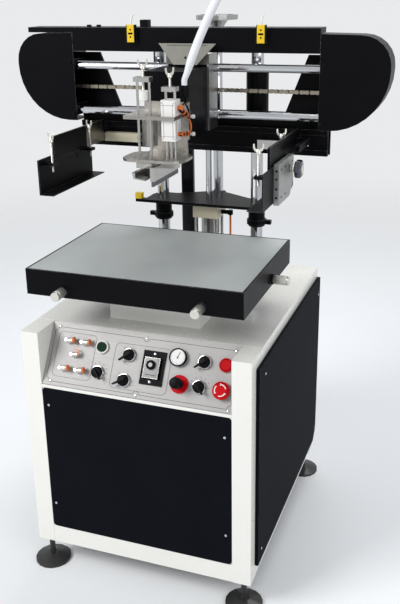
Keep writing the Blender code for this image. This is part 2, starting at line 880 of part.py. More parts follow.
# Head: back plate with sleeves, beams, covers, guide rods, sprockets and roller chain
head_top = 1.300
wing_top = 1.235
wing_half = 0.445
wing_low = 1.115
neck_half = 0.335
neck_z = 1.075
plate_low = 0.998
window_top_half = 0.276
window_low_half = 0.222
window_low = 1.098
sleeve_radius = 0.0285
sleeve_top = 1.200
sleeve_block_half = 0.020
sleeve_block_z = (1.020, 1.080)
shelf_half = 0.040
shelf_back = 0.560
rod_block_x = (0.321, 0.334)
rod_block_half = 0.014
shaft_radius = 0.008
shaft_boss = 0.016
shaft_boss_reach = 0.010
cover_depth = back_plate_front - gap
cover_shoulder = 0.410
cover_shoulder_z = 1.215
cover_shoulder_radius = 0.070
cover_sweep = (0.340, 1.207)
cover_sweep_radius = 0.140
beam_left = -0.443
beam_bottom = 1.243
beam_flange = 0.014
beam_back = 0.470
sensor_places = (-0.150, 0.180)
sensor_half = 0.011
sensor_z = (1.266, 1.307)
sensor_depth = 0.013
bolt_places = (-0.283, -0.256)
bolt_radius = 0.006
bolt_height = 0.005
stay_x = (-0.130, -0.108)
stay_height = 0.018
lower_beam_half = 0.332
lower_beam_front = 0.4615
lower_beam_web = 0.466
lower_beam_z = (0.996, 1.060)
lower_beam_strip = 0.0137


def head_back_plate():
    """A plate with an open-topped window, column sleeves, a shelf for the piston rod and rod blocks."""
    right = [(neck_half, plate_low), (neck_half, neck_z), (wing_half, wing_low), (wing_half, wing_top)]
    right += [(window_top_half, wing_top), (window_low_half, window_low)]
    outline = right + [(-x, z) for x, z in reversed(right)]
    back = back_plate_front + back_plate_thickness
    solids = [prism(outline, "Y", back_plate_front, back)]
    cuts = []
    solids.append(box((-shelf_half, shelf_half), (back - lap, shelf_back), shelf_z))
    for side in (-1, 1):
        x = side * column_x
        solids.append(upright((x, column_y), (plate_low, sleeve_top), sleeve_radius, 16))
        solids.append(
            box((x - sleeve_block_half, x + sleeve_block_half), (back - lap, column_y), sleeve_block_z)
        )
        cuts.append(upright((x, column_y), (plate_low - over, sleeve_top + over), column_radius + slip, 16))
        block_x = (side * rod_block_x[0], side * rod_block_x[1])
        for z in (rod_upper_z, rod_lower_z):
            low = rod_y - rod_block_half
            solids.append(
                box(block_x, (low, back_plate_front + lap), (z - rod_block_half, z + rod_block_half))
            )
            ends = (side * (rod_block_x[0] - over), rod_y, z), (side * (rod_block_x[1] + over), rod_y, z)
            cuts.append(rod(*ends, rod_radius + gap, 16))
        place = side * sprocket_reach
        boss = (place, back - lap, sprocket_z), (place, back + shaft_boss_reach, sprocket_z)
        solids.append(rod(*boss, shaft_boss, 16))
        hole = (place, back_plate_front - over, sprocket_z), (place, back + shaft_boss_reach + over, sprocket_z)
        cuts.append(rod(*hole, shaft_radius + slip, 16))
    return piece("head_back_plate", "black_enamel", solids, cuts)


def top_beam():
    """An angle bar over the end covers, with two stroke sensors, two bolts and a small stay."""
    low = cover_top + gap
    edge = cover_inner_x - gap
    solids = [
        box((beam_left, edge), (cover_front, beam_back), (low, head_top)),
        box((-edge, edge), (cover_front, cover_front + beam_flange), (beam_bottom, low + lap)),
        box(stay_x, (cover_front + lap, cover_front + stay_height), (head_top - lap, head_top + stay_height)),
    ]
    for x in sensor_places:
        solids.append(box((x - sensor_half, x + sensor_half), (cover_front - sensor_depth, cover_front + lap), sensor_z))
    for x in bolt_places:
        solids.append(
            upright((x, (cover_front + beam_back) / 2), (head_top - lap, head_top + bolt_height), bolt_radius, 6)
        )
    return piece("top_beam", "black_enamel", solids)


def lower_beam():
    """A channel-like beam in front of the back plate, which the frame arms slide along."""
    low, high = lower_beam_z
    span = (-lower_beam_half, lower_beam_half)
    back = back_plate_front - gap
    solids = [
        box(span, (lower_beam_web, back), (low, high)),
        box(span, (lower_beam_front, lower_beam_web + lap), (low, low + lower_beam_strip)),
        box(span, (lower_beam_front, lower_beam_web + lap), (high - lower_beam_strip, high)),
    ]
    return piece("lower_beam", "black_enamel", solids)


def cover_outline(inset):
    """The right cover's outline in x and z: straight inner edge, round shoulder, wide swept lower edge."""
    shoulder = (cover_shoulder, cover_shoulder_z)
    points = [(cover_inner_x, cover_top - inset)]
    points += arc(shoulder, cover_shoulder_radius - inset, 90, 0, 6)
    points += arc(cover_sweep, cover_sweep_radius - inset, 0, -90, 9)
    points += [(cover_inner_x, cover_bottom + inset)]
    return points


def end_covers():
    """Two D-shaped shells, open at the back and on the inner side."""
    for name, side in (("left", -1), ("right", 1)):
        shell = prism(cover_outline(0), "Y", cover_front, cover_depth)
        inside = [(cover_inner_x - over, z) if x == cover_inner_x else (x, z) for x, z in cover_outline(sheet)]
        hollow = prism(inside, "Y", cover_front + sheet, cover_depth + over)
        shape = joined([shell], [hollow])
        if side < 0:
            moved(shape, mirror_x)
        piece(name + "_end_cover", "black_enamel", [shape])


def guide_rods():
    """Two chrome rods that the carriage runs on."""
    reach = rod_block_x[1]
    for name, z in (("upper", rod_upper_z), ("lower", rod_lower_z)):
        bar = rod((-reach, rod_y, z), (reach, rod_y, z), rod_radius, 16)
        piece(name + "_guide_rod", "chrome", [bar])


# Chain drive: the strands run level between two equal sprockets a whole number of pitches apart
links_between = 64
roller_radius = 0.00425
pitch_radius = chain_pitch / (2 * math.sin(math.pi / sprocket_teeth))
sprocket_reach = links_between * chain_pitch / 2
link_half_height = 0.0056
link_inner = 0.0038
link_thickness = 0.0018
tooth_half = 0.0028
tooth_rise = 0.0036
tooth_root_share = 0.11
hub_front = 0.004
clear_pins = 3
carriage_strand_z = sprocket_z - pitch_radius


def chain_place(s, offset):
    """The point (x, z) at s pitches along the loop, moved out of it by an offset; whole numbers are pins."""
    half_turn = sprocket_teeth / 2
    s %= 2 * (links_between + half_turn)
    if s <= links_between:
        return -sprocket_reach + s * chain_pitch, sprocket_z - pitch_radius - offset
    if links_between + half_turn <= s <= 2 * links_between + half_turn:
        run = s - links_between - half_turn
        return sprocket_reach - run * chain_pitch, sprocket_z + pitch_radius + offset
    side = 1 if s < links_between + half_turn else -1
    start = links_between if side > 0 else 2 * links_between + half_turn
    angle = ((s - start) / sprocket_teeth - side / 4) * math.tau
    radius = pitch_radius + offset
    return side * sprocket_reach + radius * math.cos(angle), sprocket_z + radius * math.sin(angle)


def has_roller(pin):
    """Whether a pin lies on a level strand clear of the teeth, which pass between the plates elsewhere."""
    along_bottom = links_between - clear_pins > pin > clear_pins - 1
    top_start = links_between + sprocket_teeth // 2
    return along_bottom or top_start + clear_pins <= pin <= top_start + links_between - clear_pins


def drive_chain():
    """Two bands of link plates, joined by a roller at each pin of the level strands and open to the teeth."""
    shape = bmesh.new()
    depths = [
        chain_y - link_inner - link_thickness,
        chain_y - link_inner,
        chain_y + link_inner,
        chain_y + link_inner + link_thickness,
    ]
    columns = []
    for pin in range(2 * links_between + sprocket_teeth):
        for side in (-1, 1):
            rings = []
            for offset in (link_half_height, -link_half_height):
                x, z = chain_place(pin + side * roller_radius / chain_pitch, offset)
                rings.append([shape.verts.new((x, y, z)) for y in depths])
            columns.append(rings)
    for index, (outer, inner) in enumerate(columns):
        next_outer, next_inner = columns[(index + 1) % len(columns)]
        roller = has_roller(index // 2)
        for ring, after in ((outer, next_outer), (next_inner, inner)):
            if roller and index % 2 == 0:
                shape.faces.new(ring + after[::-1])
            else:
                shape.faces.new([ring[0], ring[1], after[1], after[0]])
                shape.faces.new([ring[2], ring[3], after[3], after[2]])
        shape.faces.new([outer[0], next_outer[0], next_inner[0], inner[0]])
        shape.faces.new([outer[3], inner[3], next_inner[3], next_outer[3]])
        if not roller or index % 2:
            shape.faces.new([outer[1], inner[1], next_inner[1], next_outer[1]])
            shape.faces.new([outer[2], next_outer[2], next_inner[2], inner[2]])
        if roller:
            shape.faces.new([outer[1], outer[2], inner[2], inner[1]])
    return piece("drive_chain", "chain_steel", [from_bmesh(shape)])


def sprockets():
    """Toothed wheels with a shaft through the back plate; a roller sits in each tooth gap."""
    step = math.tau / sprocket_teeth
    root = (pitch_radius - link_half_height) * math.cos(roller_radius / pitch_radius) - gap
    tip = pitch_radius + tooth_rise - roller_radius / 2
    outline = []
    for tooth in range(sprocket_teeth):
        middle = tooth * step
        for share, radius in ((-tooth_root_share, root), (0, tip), (tooth_root_share, root)):
            angle = middle + share * step
            outline.append((radius * math.cos(angle), radius * math.sin(angle)))
    for name, x in (("left", -sprocket_reach), ("right", sprocket_reach)):
        points = [(x + u, sprocket_z + v) for u, v in outline]
        wheel = prism(points, "Y", chain_y - tooth_half, chain_y + tooth_half)
        start = (x, chain_y - tooth_half - hub_front, sprocket_z)
        seat = (x, back_plate_front - gap, sprocket_z)
        end = (x, back_plate_front + back_plate_thickness + shaft_boss_reach, sprocket_z)
        solids = [wheel, rod(start, seat, shaft_boss, 16), rod(start, end, shaft_radius, 16)]
        piece(name + "_sprocket", "chain_steel", solids, axis_point=(x, chain_y, sprocket_z))


motor_radius = 0.036
motor_length = 0.095
motor_face = 0.045
motor_face_thickness = 0.010


def drive_motor():
    """A geared motor on the back of the left wing."""
    front = back_plate_front + back_plate_thickness + shaft_boss_reach + gap
    face_x = (-sprocket_reach - motor_face, -sprocket_reach + motor_face)
    face_z = (sprocket_z - motor_face, sprocket_z + motor_face)
    solids = [
        box(face_x, (front, front + motor_face_thickness), face_z),
        rod(
            (-sprocket_reach, front + lap, sprocket_z),
            (-sprocket_reach, front + motor_length, sprocket_z),
            motor_radius,
            24,
        ),
    ]
    return piece("drive_motor", "black_enamel", solids)


# Carriage: a block on the guide rods, with side plates, a hose bracket and a jaw round the lower strand
carriage_half = 0.050
side_plate = 0.005
side_plate_y = (0.390, 0.450)
side_plate_z = (1.060, 1.240)
block_y = (0.411, 0.449)
block_z = (1.078, 1.222)
jaw_half = 0.030
jaw_thickness = 0.003
jaw_gap = 0.0012
jaw_back = 0.4655
hose_plate_top_half = 0.073
hose_plate_low_half = 0.030
hose_plate_z = (1.217, 1.265)
hose_plate_y = (0.372, 0.389)
hose_plate_thickness = 0.002
hose_plate_hole = 0.003
front_plate_y = (0.3905, 0.3965)


def carriage_block():
    """The bored block, its side plates, the front plate and the slanted hose bracket."""
    solids = [box((-carriage_half, carriage_half), block_y, block_z)]
    for side in (-1, 1):
        inner = side * (carriage_half - lap)
        solids.append(box((inner, side * (carriage_half + side_plate)), side_plate_y, side_plate_z))
    solids.append(box((-carriage_half, carriage_half), front_plate_y, (side_plate_z[0], hose_plate_z[1] - lap * 3)))
    for offset in (link_half_height + jaw_gap, -link_half_height - jaw_gap - jaw_thickness):
        z = carriage_strand_z + offset
        solids.append(box((-jaw_half, jaw_half), (block_y[1] - lap, jaw_back), (z, z + jaw_thickness)))
    low, high = hose_plate_z
    outline = [(-hose_plate_low_half, 0), (hose_plate_low_half, 0)]
    lean = math.atan2(hose_plate_y[1] - hose_plate_y[0], high - low)
    length = (high - low) / math.cos(lean)
    outline += [(hose_plate_top_half, length), (-hose_plate_top_half, length)]
    plate = prism(outline, "Y", 0, hose_plate_thickness)
    tilt = Matrix.Translation((0, hose_plate_y[0], low)) @ Matrix.Rotation(-lean, 4, "X")
    solids.append(moved(plate, tilt))
    tip = high - lap * 3
    solids.append(
        box((-carriage_half, carriage_half), (hose_plate_y[1] - hose_plate_thickness, front_plate_y[1]), (tip - side_plate, tip))
    )
    cuts = []
    for z in (rod_upper_z, rod_lower_z):
        reach = carriage_half + side_plate + over
        cuts.append(rod((-reach, rod_y, z), (reach, rod_y, z), rod_radius + slip, 16))
    hole_z = low + (high - low) / 3
    cuts.append(rod((0, hose_plate_y[0] - over, hole_z), (0, front_plate_y[0] - over, hole_z), hose_plate_hole, 10))
    return piece("carriage_block", "aluminium", solids, cuts)


# Print unit: a cantilever bracket, a mid plate and an oval lower plate carry the two air cylinders
bracket_x = (-0.060, 0.050)
bracket_y = (0.262, side_plate_y[0] - gap)
bracket_z = (1.060, 1.212)
bracket_wall = 0.006
mid_plate_x = (-0.070, 0.052)
mid_plate_y = (0.165, 0.268)
mid_plate_z = (1.117, 1.125)
oval_x = 0.075
oval_centre_y = 0.190
oval_half_y = 0.048
oval_z = (1.026, 1.032)
oval_corner = 0.030
neck_x = (-0.045, 0.045)
flood_x = -0.027
flood_post_offset = 0.0145
flood_post_y = 0.185
post_radius = 0.003
flood_barrel_y = 0.213
flood_barrel_radius = 0.0175
flood_barrel_bottom = 1.052
squeegee_x = 0.0345
squeegee_y = 0.190
squeegee_half = 0.0165
squeegee_z = (1.070, 1.160)
squeegee_post_offset = 0.0105
gland_place = (0.043, 0.250)
gland_radius = 0.0085
gland_z = (1.160, 1.184)


def print_unit_frame():
    """The bracket box, open below, with the mid plate, the oval plate and the hose gland."""
    x_low, x_high = bracket_x
    wall = bracket_wall
    shell = joined(
        [box(bracket_x, bracket_y, bracket_z)],
        [
            box(
                (x_low + wall, x_high - wall),
                (bracket_y[0] + wall, bracket_y[1] - wall),
                (bracket_z[0] - over, bracket_z[1] - wall),
            )
        ],
    )
    web_top = bracket_z[0] + lap
    solids = [
        shell,
        box(neck_x, (bracket_y[0] + lap / 2, bracket_y[0] + wall), (oval_z[0] + lap / 2, web_top)),
        box(mid_plate_x, (mid_plate_y[0], mid_plate_y[1] - lap), mid_plate_z),
        prism(
            rounded_box(
                (-oval_x, oval_x),
                (oval_centre_y - oval_half_y, oval_centre_y + oval_half_y),
                oval_corner,
                4,
            ),
            "Z",
            *oval_z,
        ),
        box(neck_x, (oval_centre_y, bracket_y[0] + wall - lap / 2), oval_z),
        upright(gland_place, gland_z, gland_radius, 12),
        box(
            (gland_place[0] - gland_radius / 2, gland_place[0] + gland_radius / 2),
            (gland_place[1], bracket_y[0] + lap),
            (gland_z[0] + lap, gland_z[1] - lap * 3),
        ),
    ]
    cuts = []
    plates = (oval_z[0] - over, mid_plate_z[1] + over)
    for x in (flood_x - flood_post_offset, flood_x + flood_post_offset):
        cuts.append(upright((x, flood_post_y), plates, post_radius + slip, 10))
    half = squeegee_half + gap
    cuts.append(
        box(
            (squeegee_x - half, squeegee_x + half),
            (squeegee_y - half, squeegee_y + half),
            (squeegee_z[0], squeegee_z[1]),
        )
    )
    low = (oval_z[0] - over, oval_z[1] + over)
    for x in (squeegee_x - squeegee_post_offset, squeegee_x, squeegee_x + squeegee_post_offset):
        cuts.append(upright((x, squeegee_y), low, post_radius + slip, 10))
    return piece("print_unit_frame", "aluminium", solids, cuts)


fitting_reach = 0.012
fitting_radius = 0.0045
knob_stem = 0.003
left_fitting_z = (1.068, 1.098)
right_fitting_z = (1.085, 1.140)


def air_cylinders():
    """A round flood cylinder under the mid plate and a square squeegee cylinder let through it."""
    top = mid_plate_z[0] - gap
    place = (flood_x, flood_barrel_y)
    solids = [upright(place, (flood_barrel_bottom, top), flood_barrel_radius, 16)]
    edge = flood_x - flood_barrel_radius
    for z in left_fitting_z:
        solids.append(
            rod((edge + lap * 2, flood_barrel_y, z), (edge - fitting_reach, flood_barrel_y, z), fitting_radius, 8)
        )
    piece("flood_cylinder", "zinc", solids)
    span = (squeegee_x - squeegee_half, squeegee_x + squeegee_half)
    depth = (squeegee_y - squeegee_half, squeegee_y + squeegee_half)
    solids = [box(span, depth, squeegee_z)]
    for z in right_fitting_z:
        start = (span[1] - lap, squeegee_y, z)
        solids.append(rod(start, (span[1] + fitting_reach, squeegee_y, z), fitting_radius, 8))
    cuts = []
    for x in (squeegee_x - squeegee_post_offset, squeegee_x + squeegee_post_offset):
        cuts.append(
            upright((x, squeegee_y), (squeegee_z[0] - over, squeegee_z[1] + over), post_radius + slip, 10)
        )
    bore = (squeegee_z[0] - over, squeegee_z[1] - squeegee_half)
    cuts.append(upright((squeegee_x, squeegee_y), bore, post_radius + slip, 10))
    piece("squeegee_cylinder", "hose_white", solids, cuts)


flood_yoke_z = (1.198, 1.208)
flood_yoke_half = (0.019, 0.0125)
tool_y = (0.120, 0.270)
flood_tool_x = (-0.034, -0.002)
flood_tool_z = (0.990, 1.006)
flood_clamp_z = (1.006, 1.018)
flood_clamp_x = (-0.046, -0.008)
flood_blade = 0.002
squeegee_yoke_z = (1.178, 1.188)
squeegee_yoke_half = (0.0165, 0.0110)
holder_x = (0.010, 0.020)
holder_z = (0.990, 1.020)
blade_x = (0.0125, 0.0175)
blade_tip = 0.978
holder_bar_z = (1.008, 1.018)
holder_bar_x = (0.010, 0.050)
stop_shaft = 0.003
stop_hole_gap = 0.0005
wing_reach = 0.011
wing_rise = 0.010
wing_thickness = 0.003
wing_hub = 0.0055
nylon_radius = 0.009
nylon_z = (1.157, 1.178)
flood_screw_top = 1.226
squeegee_screw_top = 1.206
squeegee_screw_low = 1.1758


def print_tools():
    """The flood bar and the squeegee holder, each on two posts under a yoke."""
    low, high = flood_yoke_z
    half_x, half_y = flood_yoke_half
    solids = [
        box((flood_x - half_x, flood_x + half_x), (flood_post_y - half_y, flood_post_y + half_y), (low, high)),
        box(flood_clamp_x, (flood_post_y - half_y, flood_post_y + half_y), flood_clamp_z),
    ]
    for x in (flood_x - flood_post_offset, flood_x + flood_post_offset):
        solids.append(upright((x, flood_post_y), (flood_clamp_z[1] - lap, low + lap), post_radius, 10))
    left, right = flood_tool_x
    bend = [(left, flood_tool_z[1] + lap), (left + flood_blade * 2, flood_tool_z[0] + lap * 3)]
    bend += [(right, flood_tool_z[0]), (right, flood_tool_z[0] + flood_blade)]
    bend += [(left + flood_blade * 4, flood_tool_z[0] + lap * 6), (left + flood_blade * 4, flood_tool_z[1] + lap)]
    solids.append(prism(bend, "Y", *tool_y))
    screw_hole = upright(
        (flood_x, flood_post_y), (low - over, high + over), stop_shaft + stop_hole_gap, 10
    )
    piece("flood_bar", "zinc", solids, [screw_hole])
    low, high = squeegee_yoke_z
    half_x, half_y = squeegee_yoke_half
    solids = [
        box(
            (squeegee_x - half_x, squeegee_x + half_x),
            (squeegee_y - half_y, squeegee_y + half_y),
            (low, high),
        ),
        box(holder_bar_x, (squeegee_y - half_y, squeegee_y + half_y), holder_bar_z),
        box(holder_x, tool_y, holder_z),
        box(blade_x, tool_y, (blade_tip, holder_z[0] + lap)),
    ]
    for x in (squeegee_x - squeegee_post_offset, squeegee_x + squeegee_post_offset):
        solids.append(upright((x, squeegee_y), (holder_bar_z[1] - lap, low + lap), post_radius, 10))
    piston_top = squeegee_z[1] - squeegee_half - over * 2
    solids.append(upright((squeegee_x, squeegee_y), (holder_bar_z[1] - lap, piston_top), post_radius, 10))
    screw_hole = upright(
        (squeegee_x, squeegee_y), (low - over, high + over), stop_shaft + stop_hole_gap, 10
    )
    piece("squeegee_holder", "zinc", solids, [screw_hole])


def wing_head(x, y, z):
    """Two raised wings on a hub, at the top of a screw."""
    solids = [upright((x, y), (z, z + wing_rise / 2), wing_hub, 10)]
    for side in (-1, 1):
        outline = [
            (x + side * stop_shaft / 2, z + lap / 2),
            (x + side * wing_reach, z + wing_rise * 0.7),
            (x + side * wing_reach, z + wing_rise),
            (x + side * wing_hub, z + wing_rise),
            (x + side * stop_shaft / 2, z + wing_rise / 2 - lap / 2),
        ]
        solids.append(prism(outline, "Y", y - wing_thickness / 2, y + wing_thickness / 2))
    return solids


def stop_screws():
    """The wing screws that set the two strokes; the flood side carries a nylon stop nut."""
    centre = (flood_x, flood_post_y)
    solids = wing_head(*centre, flood_screw_top)
    solids.append(upright(centre, (nylon_z[0] + lap, flood_screw_top + lap), stop_shaft, 10))
    solids.append(upright(centre, nylon_z, nylon_radius, 16))
    piece("flood_stop_screw", "zinc", solids, axis_point=(*centre, flood_screw_top))
    centre = (squeegee_x, squeegee_y)
    solids = wing_head(*centre, squeegee_screw_top)
    solids.append(upright(centre, (squeegee_screw_low, squeegee_screw_top + lap), stop_shaft, 10))
    piece("squeegee_stop_screw", "zinc", solids, axis_point=(*centre, squeegee_screw_top))


# Air hose: its own route, from the gland up to a hanger just above the view
hose_route = [
    (0.043, 0.250, 1.1843),
    (0.043, 0.250, 1.2060),
    (0.051, 0.253, 1.230),
    (0.068, 0.262, 1.262),
    (0.090, 0.266, 1.298),
    (0.113, 0.266, 1.334),
    (0.135, 0.264, 1.368),
    (0.150, 0.262, 1.396),
    (0.158, 0.262, 1.424),
    (0.158, 0.262, 1.450),
]
air_hose_radius = 0.0095
air_hose_points = 16
hanger_radius = 0.014
hanger_height = 0.024


def smooth_route(route, count):
    """Evenly spread points on a smooth curve through the route's own points."""
    places = np.array(route)
    steps = np.linalg.norm(np.diff(places, axis=0), axis=1)
    lengths = np.concatenate([[0], np.cumsum(steps)])
    slopes = np.gradient(places, lengths, axis=0)
    points = []
    for s in np.linspace(0, lengths[-1], count):
        i = min(int(np.searchsorted(lengths, s, side="right")) - 1, len(places) - 2)
        span = lengths[i + 1] - lengths[i]
        t = (s - lengths[i]) / span
        start = (1 + 2 * t) * (1 - t) ** 2 * places[i] + t * (1 - t) ** 2 * span * slopes[i]
        finish_part = t * t * (3 - 2 * t) * places[i + 1] + t * t * (t - 1) * span * slopes[i + 1]
        points.append(start + finish_part)
    return points


def air_hose():
    """The sheathed bundle of air lines, and the hanger that its upper end fits in."""
    points = smooth_route(hose_route, air_hose_points)
    piece("air_hose", "hose_white", [tube(points, air_hose_radius, 2)])
    x, y, z = hose_route[-1]
    low = z + gap
    profile = [
        (0, low + hanger_height),
        (hanger_radius / 2, low + hanger_height),
        (hanger_radius, low + hanger_height / 2),
        (hanger_radius, low),
        (0, low),
    ]
    piece("hose_hanger", "black_plastic", [turned(profile, (x, y, 0), steps=16)])


# Frame arms, written for the right side and mirrored for the left
arm_x = (0.259, 0.265)
arm_y = (0.180, 0.450)
arm_z = (1.012, 1.066)
slider_x = (0.160, 0.270)
slider_y = (0.4455, lower_beam_web - gap)
slider_z = (lower_beam_z[0] + lower_beam_strip + gap, 1.032)
rail_x = (0.284, 0.294)
rail_y = (0.330, 0.440)
rail_z = (1.030, 1.045)
rail_link = 0.012
channel_x = (0.2655, 0.2685)
channel_y = (0.115, 0.380)
channel_z = (0.940, 1.022)
flange_inner_x = 0.232
mount_plate_x = (0.268, 0.280)
mount_plate_y = (0.200, 0.330)
mount_plate_z = (0.935, 1.026)
mount_chamfer = 0.030
lug_x = (0.240, 0.267)
lug_half = 0.010
lug_z = (1.005, 1.0117)
wing_x = 0.248
wing_places = (0.149, 0.341)
wing_screw_z = (0.990, 1.062)
arm_knob_y = 0.300
arm_knob_z = 0.998
arm_knob_x = (0.2905, 0.3095)
arm_knob_radius = 0.022
arm_knob_shaft = 0.004


def sided(name, colour, solids, cuts, side, axis_point=(0, 0, 0)):
    """A piece modelled on the right and mirrored in x when it belongs on the left."""
    shape = joined(list(solids), cuts)
    x, y, z = axis_point
    if side < 0:
        moved(shape, mirror_x)
        x = -x
    return piece(name, colour, [shape], axis_point=(x, y, z))


def frame_arms():
    """For each side: the arm with its slider, the channel, the clamp knob and two wing screws."""
    for word, side in (("left", -1), ("right", 1)):
        solids = [
            box(arm_x, arm_y, arm_z),
            box(slider_x, slider_y, slider_z),
            box(rail_x, rail_y, rail_z),
            box((arm_x[1] - lap, rail_x[1]), (rail_y[1] - rail_link, rail_y[1]), (rail_z[0], rail_z[1])),
        ]
        sided(word + "_frame_arm", "black_enamel", solids, [], side)
        web = (channel_z[0], channel_z[1])
        solids = [
            box(channel_x, channel_y, web),
            box((flange_inner_x, channel_x[1] - lap / 2), channel_y, (channel_z[0], channel_z[0] + sheet)),
            mount_plate(),
        ]
        cuts = []
        for y in wing_places:
            solids.append(box(lug_x, (y - lug_half, y + lug_half), lug_z))
            cuts.append(upright((wing_x, y), (lug_z[0] - over, lug_z[1] + over), stop_shaft + slip, 10))
        knob_hole = (channel_x[0] - over, arm_knob_y, arm_knob_z), (mount_plate_x[1] + over, arm_knob_y, arm_knob_z)
        cuts.append(rod(*knob_hole, arm_knob_shaft + slip, 12))
        sided(word + "_frame_channel", "black_enamel", solids, cuts, side)
        near, far = arm_knob_x
        solids = [
            rod((near, arm_knob_y, arm_knob_z), (far, arm_knob_y, arm_knob_z), arm_knob_radius, 16),
            rod((channel_x[0], arm_knob_y, arm_knob_z), (near + lap, arm_knob_y, arm_knob_z), arm_knob_shaft, 12),
        ]
        sided(word + "_arm_knob", "chrome", solids, [], side, (near, arm_knob_y, arm_knob_z))
        for place, y in zip(("front", "rear"), wing_places):
            solids = wing_head(wing_x, y, wing_screw_z[1])
            solids.append(upright((wing_x, y), (wing_screw_z[0], wing_screw_z[1] + lap), stop_shaft, 10))
            name = word + "_" + place + "_wing_screw"
            sided(name, "zinc", solids, [], side, (wing_x, y, wing_screw_z[1]))


def mount_plate():
    """The grey plate outboard of the channel, with a cut lower rear corner."""
    front, back = mount_plate_y
    low, high = mount_plate_z
    cut = mount_chamfer
    outline = [(front, low), (back - cut, low), (back, low + cut), (back, high), (front, high)]
    return prism(outline, "X", *mount_plate_x)


def centre_on_origin():
    """Shifts every piece back or forward so that the origin is under the middle of the press."""
    front = bed_front - adjuster_tip
    back = cabinet_depth - post_side / 2 + foot_radius
    middle = (front + back) / 2
    for found in parts.objects:
        found.location.y -= middle


def main():
    """Builds the whole press."""
    cabinet_frame()
    flat_panels()
    guide_columns()
    control_panel()
    controls()
    lift_plate()
    lift_cylinder()
    piston_rod()
    height_screw()
    bed()
    head_back_plate()
    top_beam()
    lower_beam()
    end_covers()
    guide_rods()
    drive_chain()
    sprockets()
    drive_motor()
    carriage_block()
    print_unit_frame()
    air_cylinders()
    print_tools()
    stop_screws()
    air_hose()
    frame_arms()
    centre_on_origin()


main()
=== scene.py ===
# Looks for a floor-standing flat-bed screen printing press.
# Everything is in metres, in the frame of the CAD: -Y is the front, the floor is Z = 0.

import math

import bmesh
import bpy
import numpy as np
from mathutils import Matrix, Vector


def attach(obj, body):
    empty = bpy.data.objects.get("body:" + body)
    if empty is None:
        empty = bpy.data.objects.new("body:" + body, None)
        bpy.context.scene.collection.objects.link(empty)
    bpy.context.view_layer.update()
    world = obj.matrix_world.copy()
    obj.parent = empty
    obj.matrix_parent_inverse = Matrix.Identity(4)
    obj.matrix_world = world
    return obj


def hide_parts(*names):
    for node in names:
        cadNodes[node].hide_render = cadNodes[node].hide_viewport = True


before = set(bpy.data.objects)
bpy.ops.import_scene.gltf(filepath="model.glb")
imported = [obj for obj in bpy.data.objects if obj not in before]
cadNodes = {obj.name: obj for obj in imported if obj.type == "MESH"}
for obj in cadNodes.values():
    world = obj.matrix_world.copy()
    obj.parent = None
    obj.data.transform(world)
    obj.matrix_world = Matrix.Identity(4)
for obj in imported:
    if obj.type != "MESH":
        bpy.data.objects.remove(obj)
scene = bpy.context.scene
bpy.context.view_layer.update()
frontPlane = -0.32125  # world Y of the cabinet's front face; places below count their depth from it
print("frame loaded,", len(cadNodes), "nodes")

meshing = {
    "merge": 0.00002,  # points closer than this become one
    "axis": 0.00001,  # how near a turned profile comes to its axis
}
facingFront = ((1, 0, 0), (0, 0, 1), (0, -1, 0))  # a flat shape's two directions, and the way that it is thick
facingRight = ((0, 1, 0), (0, 0, 1), (1, 0, 0))
facingUp = ((1, 0, 0), (0, 1, 0), (0, 0, 1))


def camelName(*names):
    first, *rest = "_".join(names).split("_")
    return first + "".join(word.title() for word in rest)


def place(x, depth, z):  # a point given by its depth behind the cabinet's front
    return (x, depth + frontPlane, z)


def putMesh(name, points, faces, material, smooth, body):
    mesh = bpy.data.meshes.new(name)
    mesh.from_pydata(points.tolist(), [], faces)
    whole = bmesh.new()
    whole.from_mesh(mesh)
    bmesh.ops.remove_doubles(whole, verts=whole.verts, dist=meshing["merge"])  # closes the poles
    bmesh.ops.recalc_face_normals(whole, faces=whole.faces)
    whole.to_mesh(mesh)
    whole.free()
    mesh.validate()
    shape = bpy.data.objects.new(name, mesh)
    scene.collection.objects.link(shape)
    mesh.shade_smooth()
    mesh.set_sharp_from_angle(angle=math.radians(smooth))
    mesh.materials.append(material)
    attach(shape, body)
    return shape


def loftFaces(rings, around, first):
    # quads between each ring and the next, plus one face at each end, counted from the first point
    r, a = np.meshgrid(np.arange(rings - 1), np.arange(around), indexing="ij")
    n = (a + 1) % around
    quads = np.stack([r * around + a, r * around + n, (r + 1) * around + n, (r + 1) * around + a], -1) + first
    last = first + (rings - 1) * around
    return [*quads.reshape(-1, 4).tolist(), [*range(first, first + around)][::-1], [*range(last, last + around)]]


def circleSteps(count):
    return np.linspace(0, 2 * np.pi, count, endpoint=False)


def latheRings(profile, steps):
    # a profile of (radius, height) turned about Z: x = r cos t, y = r sin t, z = h
    radius, height = np.asarray(profile, float).T[:, :, None]
    t = circleSteps(steps)
    return np.stack([radius * np.cos(t), radius * np.sin(t), height + 0 * t], -1)


def wavyRings(profile, radius, depth, waves, steps):
    # rows of (share, height, ridged) turned about Z, at the radius (r + ridged d cos(waves t)) share
    share, height, ridged = np.asarray(profile, float).T[:, :, None]
    t = circleSteps(steps)
    reach = (radius + ridged * depth * np.cos(waves * t)) * share
    return np.stack([reach * np.cos(t), reach * np.sin(t), height + 0 * t], -1)


def capped(*profile, top=None):
    # a profile closed onto its axis at both ends, level with them or up at the top
    top = profile[-1][1] if top is None else top
    return [(meshing["axis"], profile[0][1]), *profile, (meshing["axis"], top)]


def aim(axis):  # a rotation that carries +Z to the axis
    return np.array(Vector(axis).normalized().to_track_quat("Z", "Y").to_matrix())


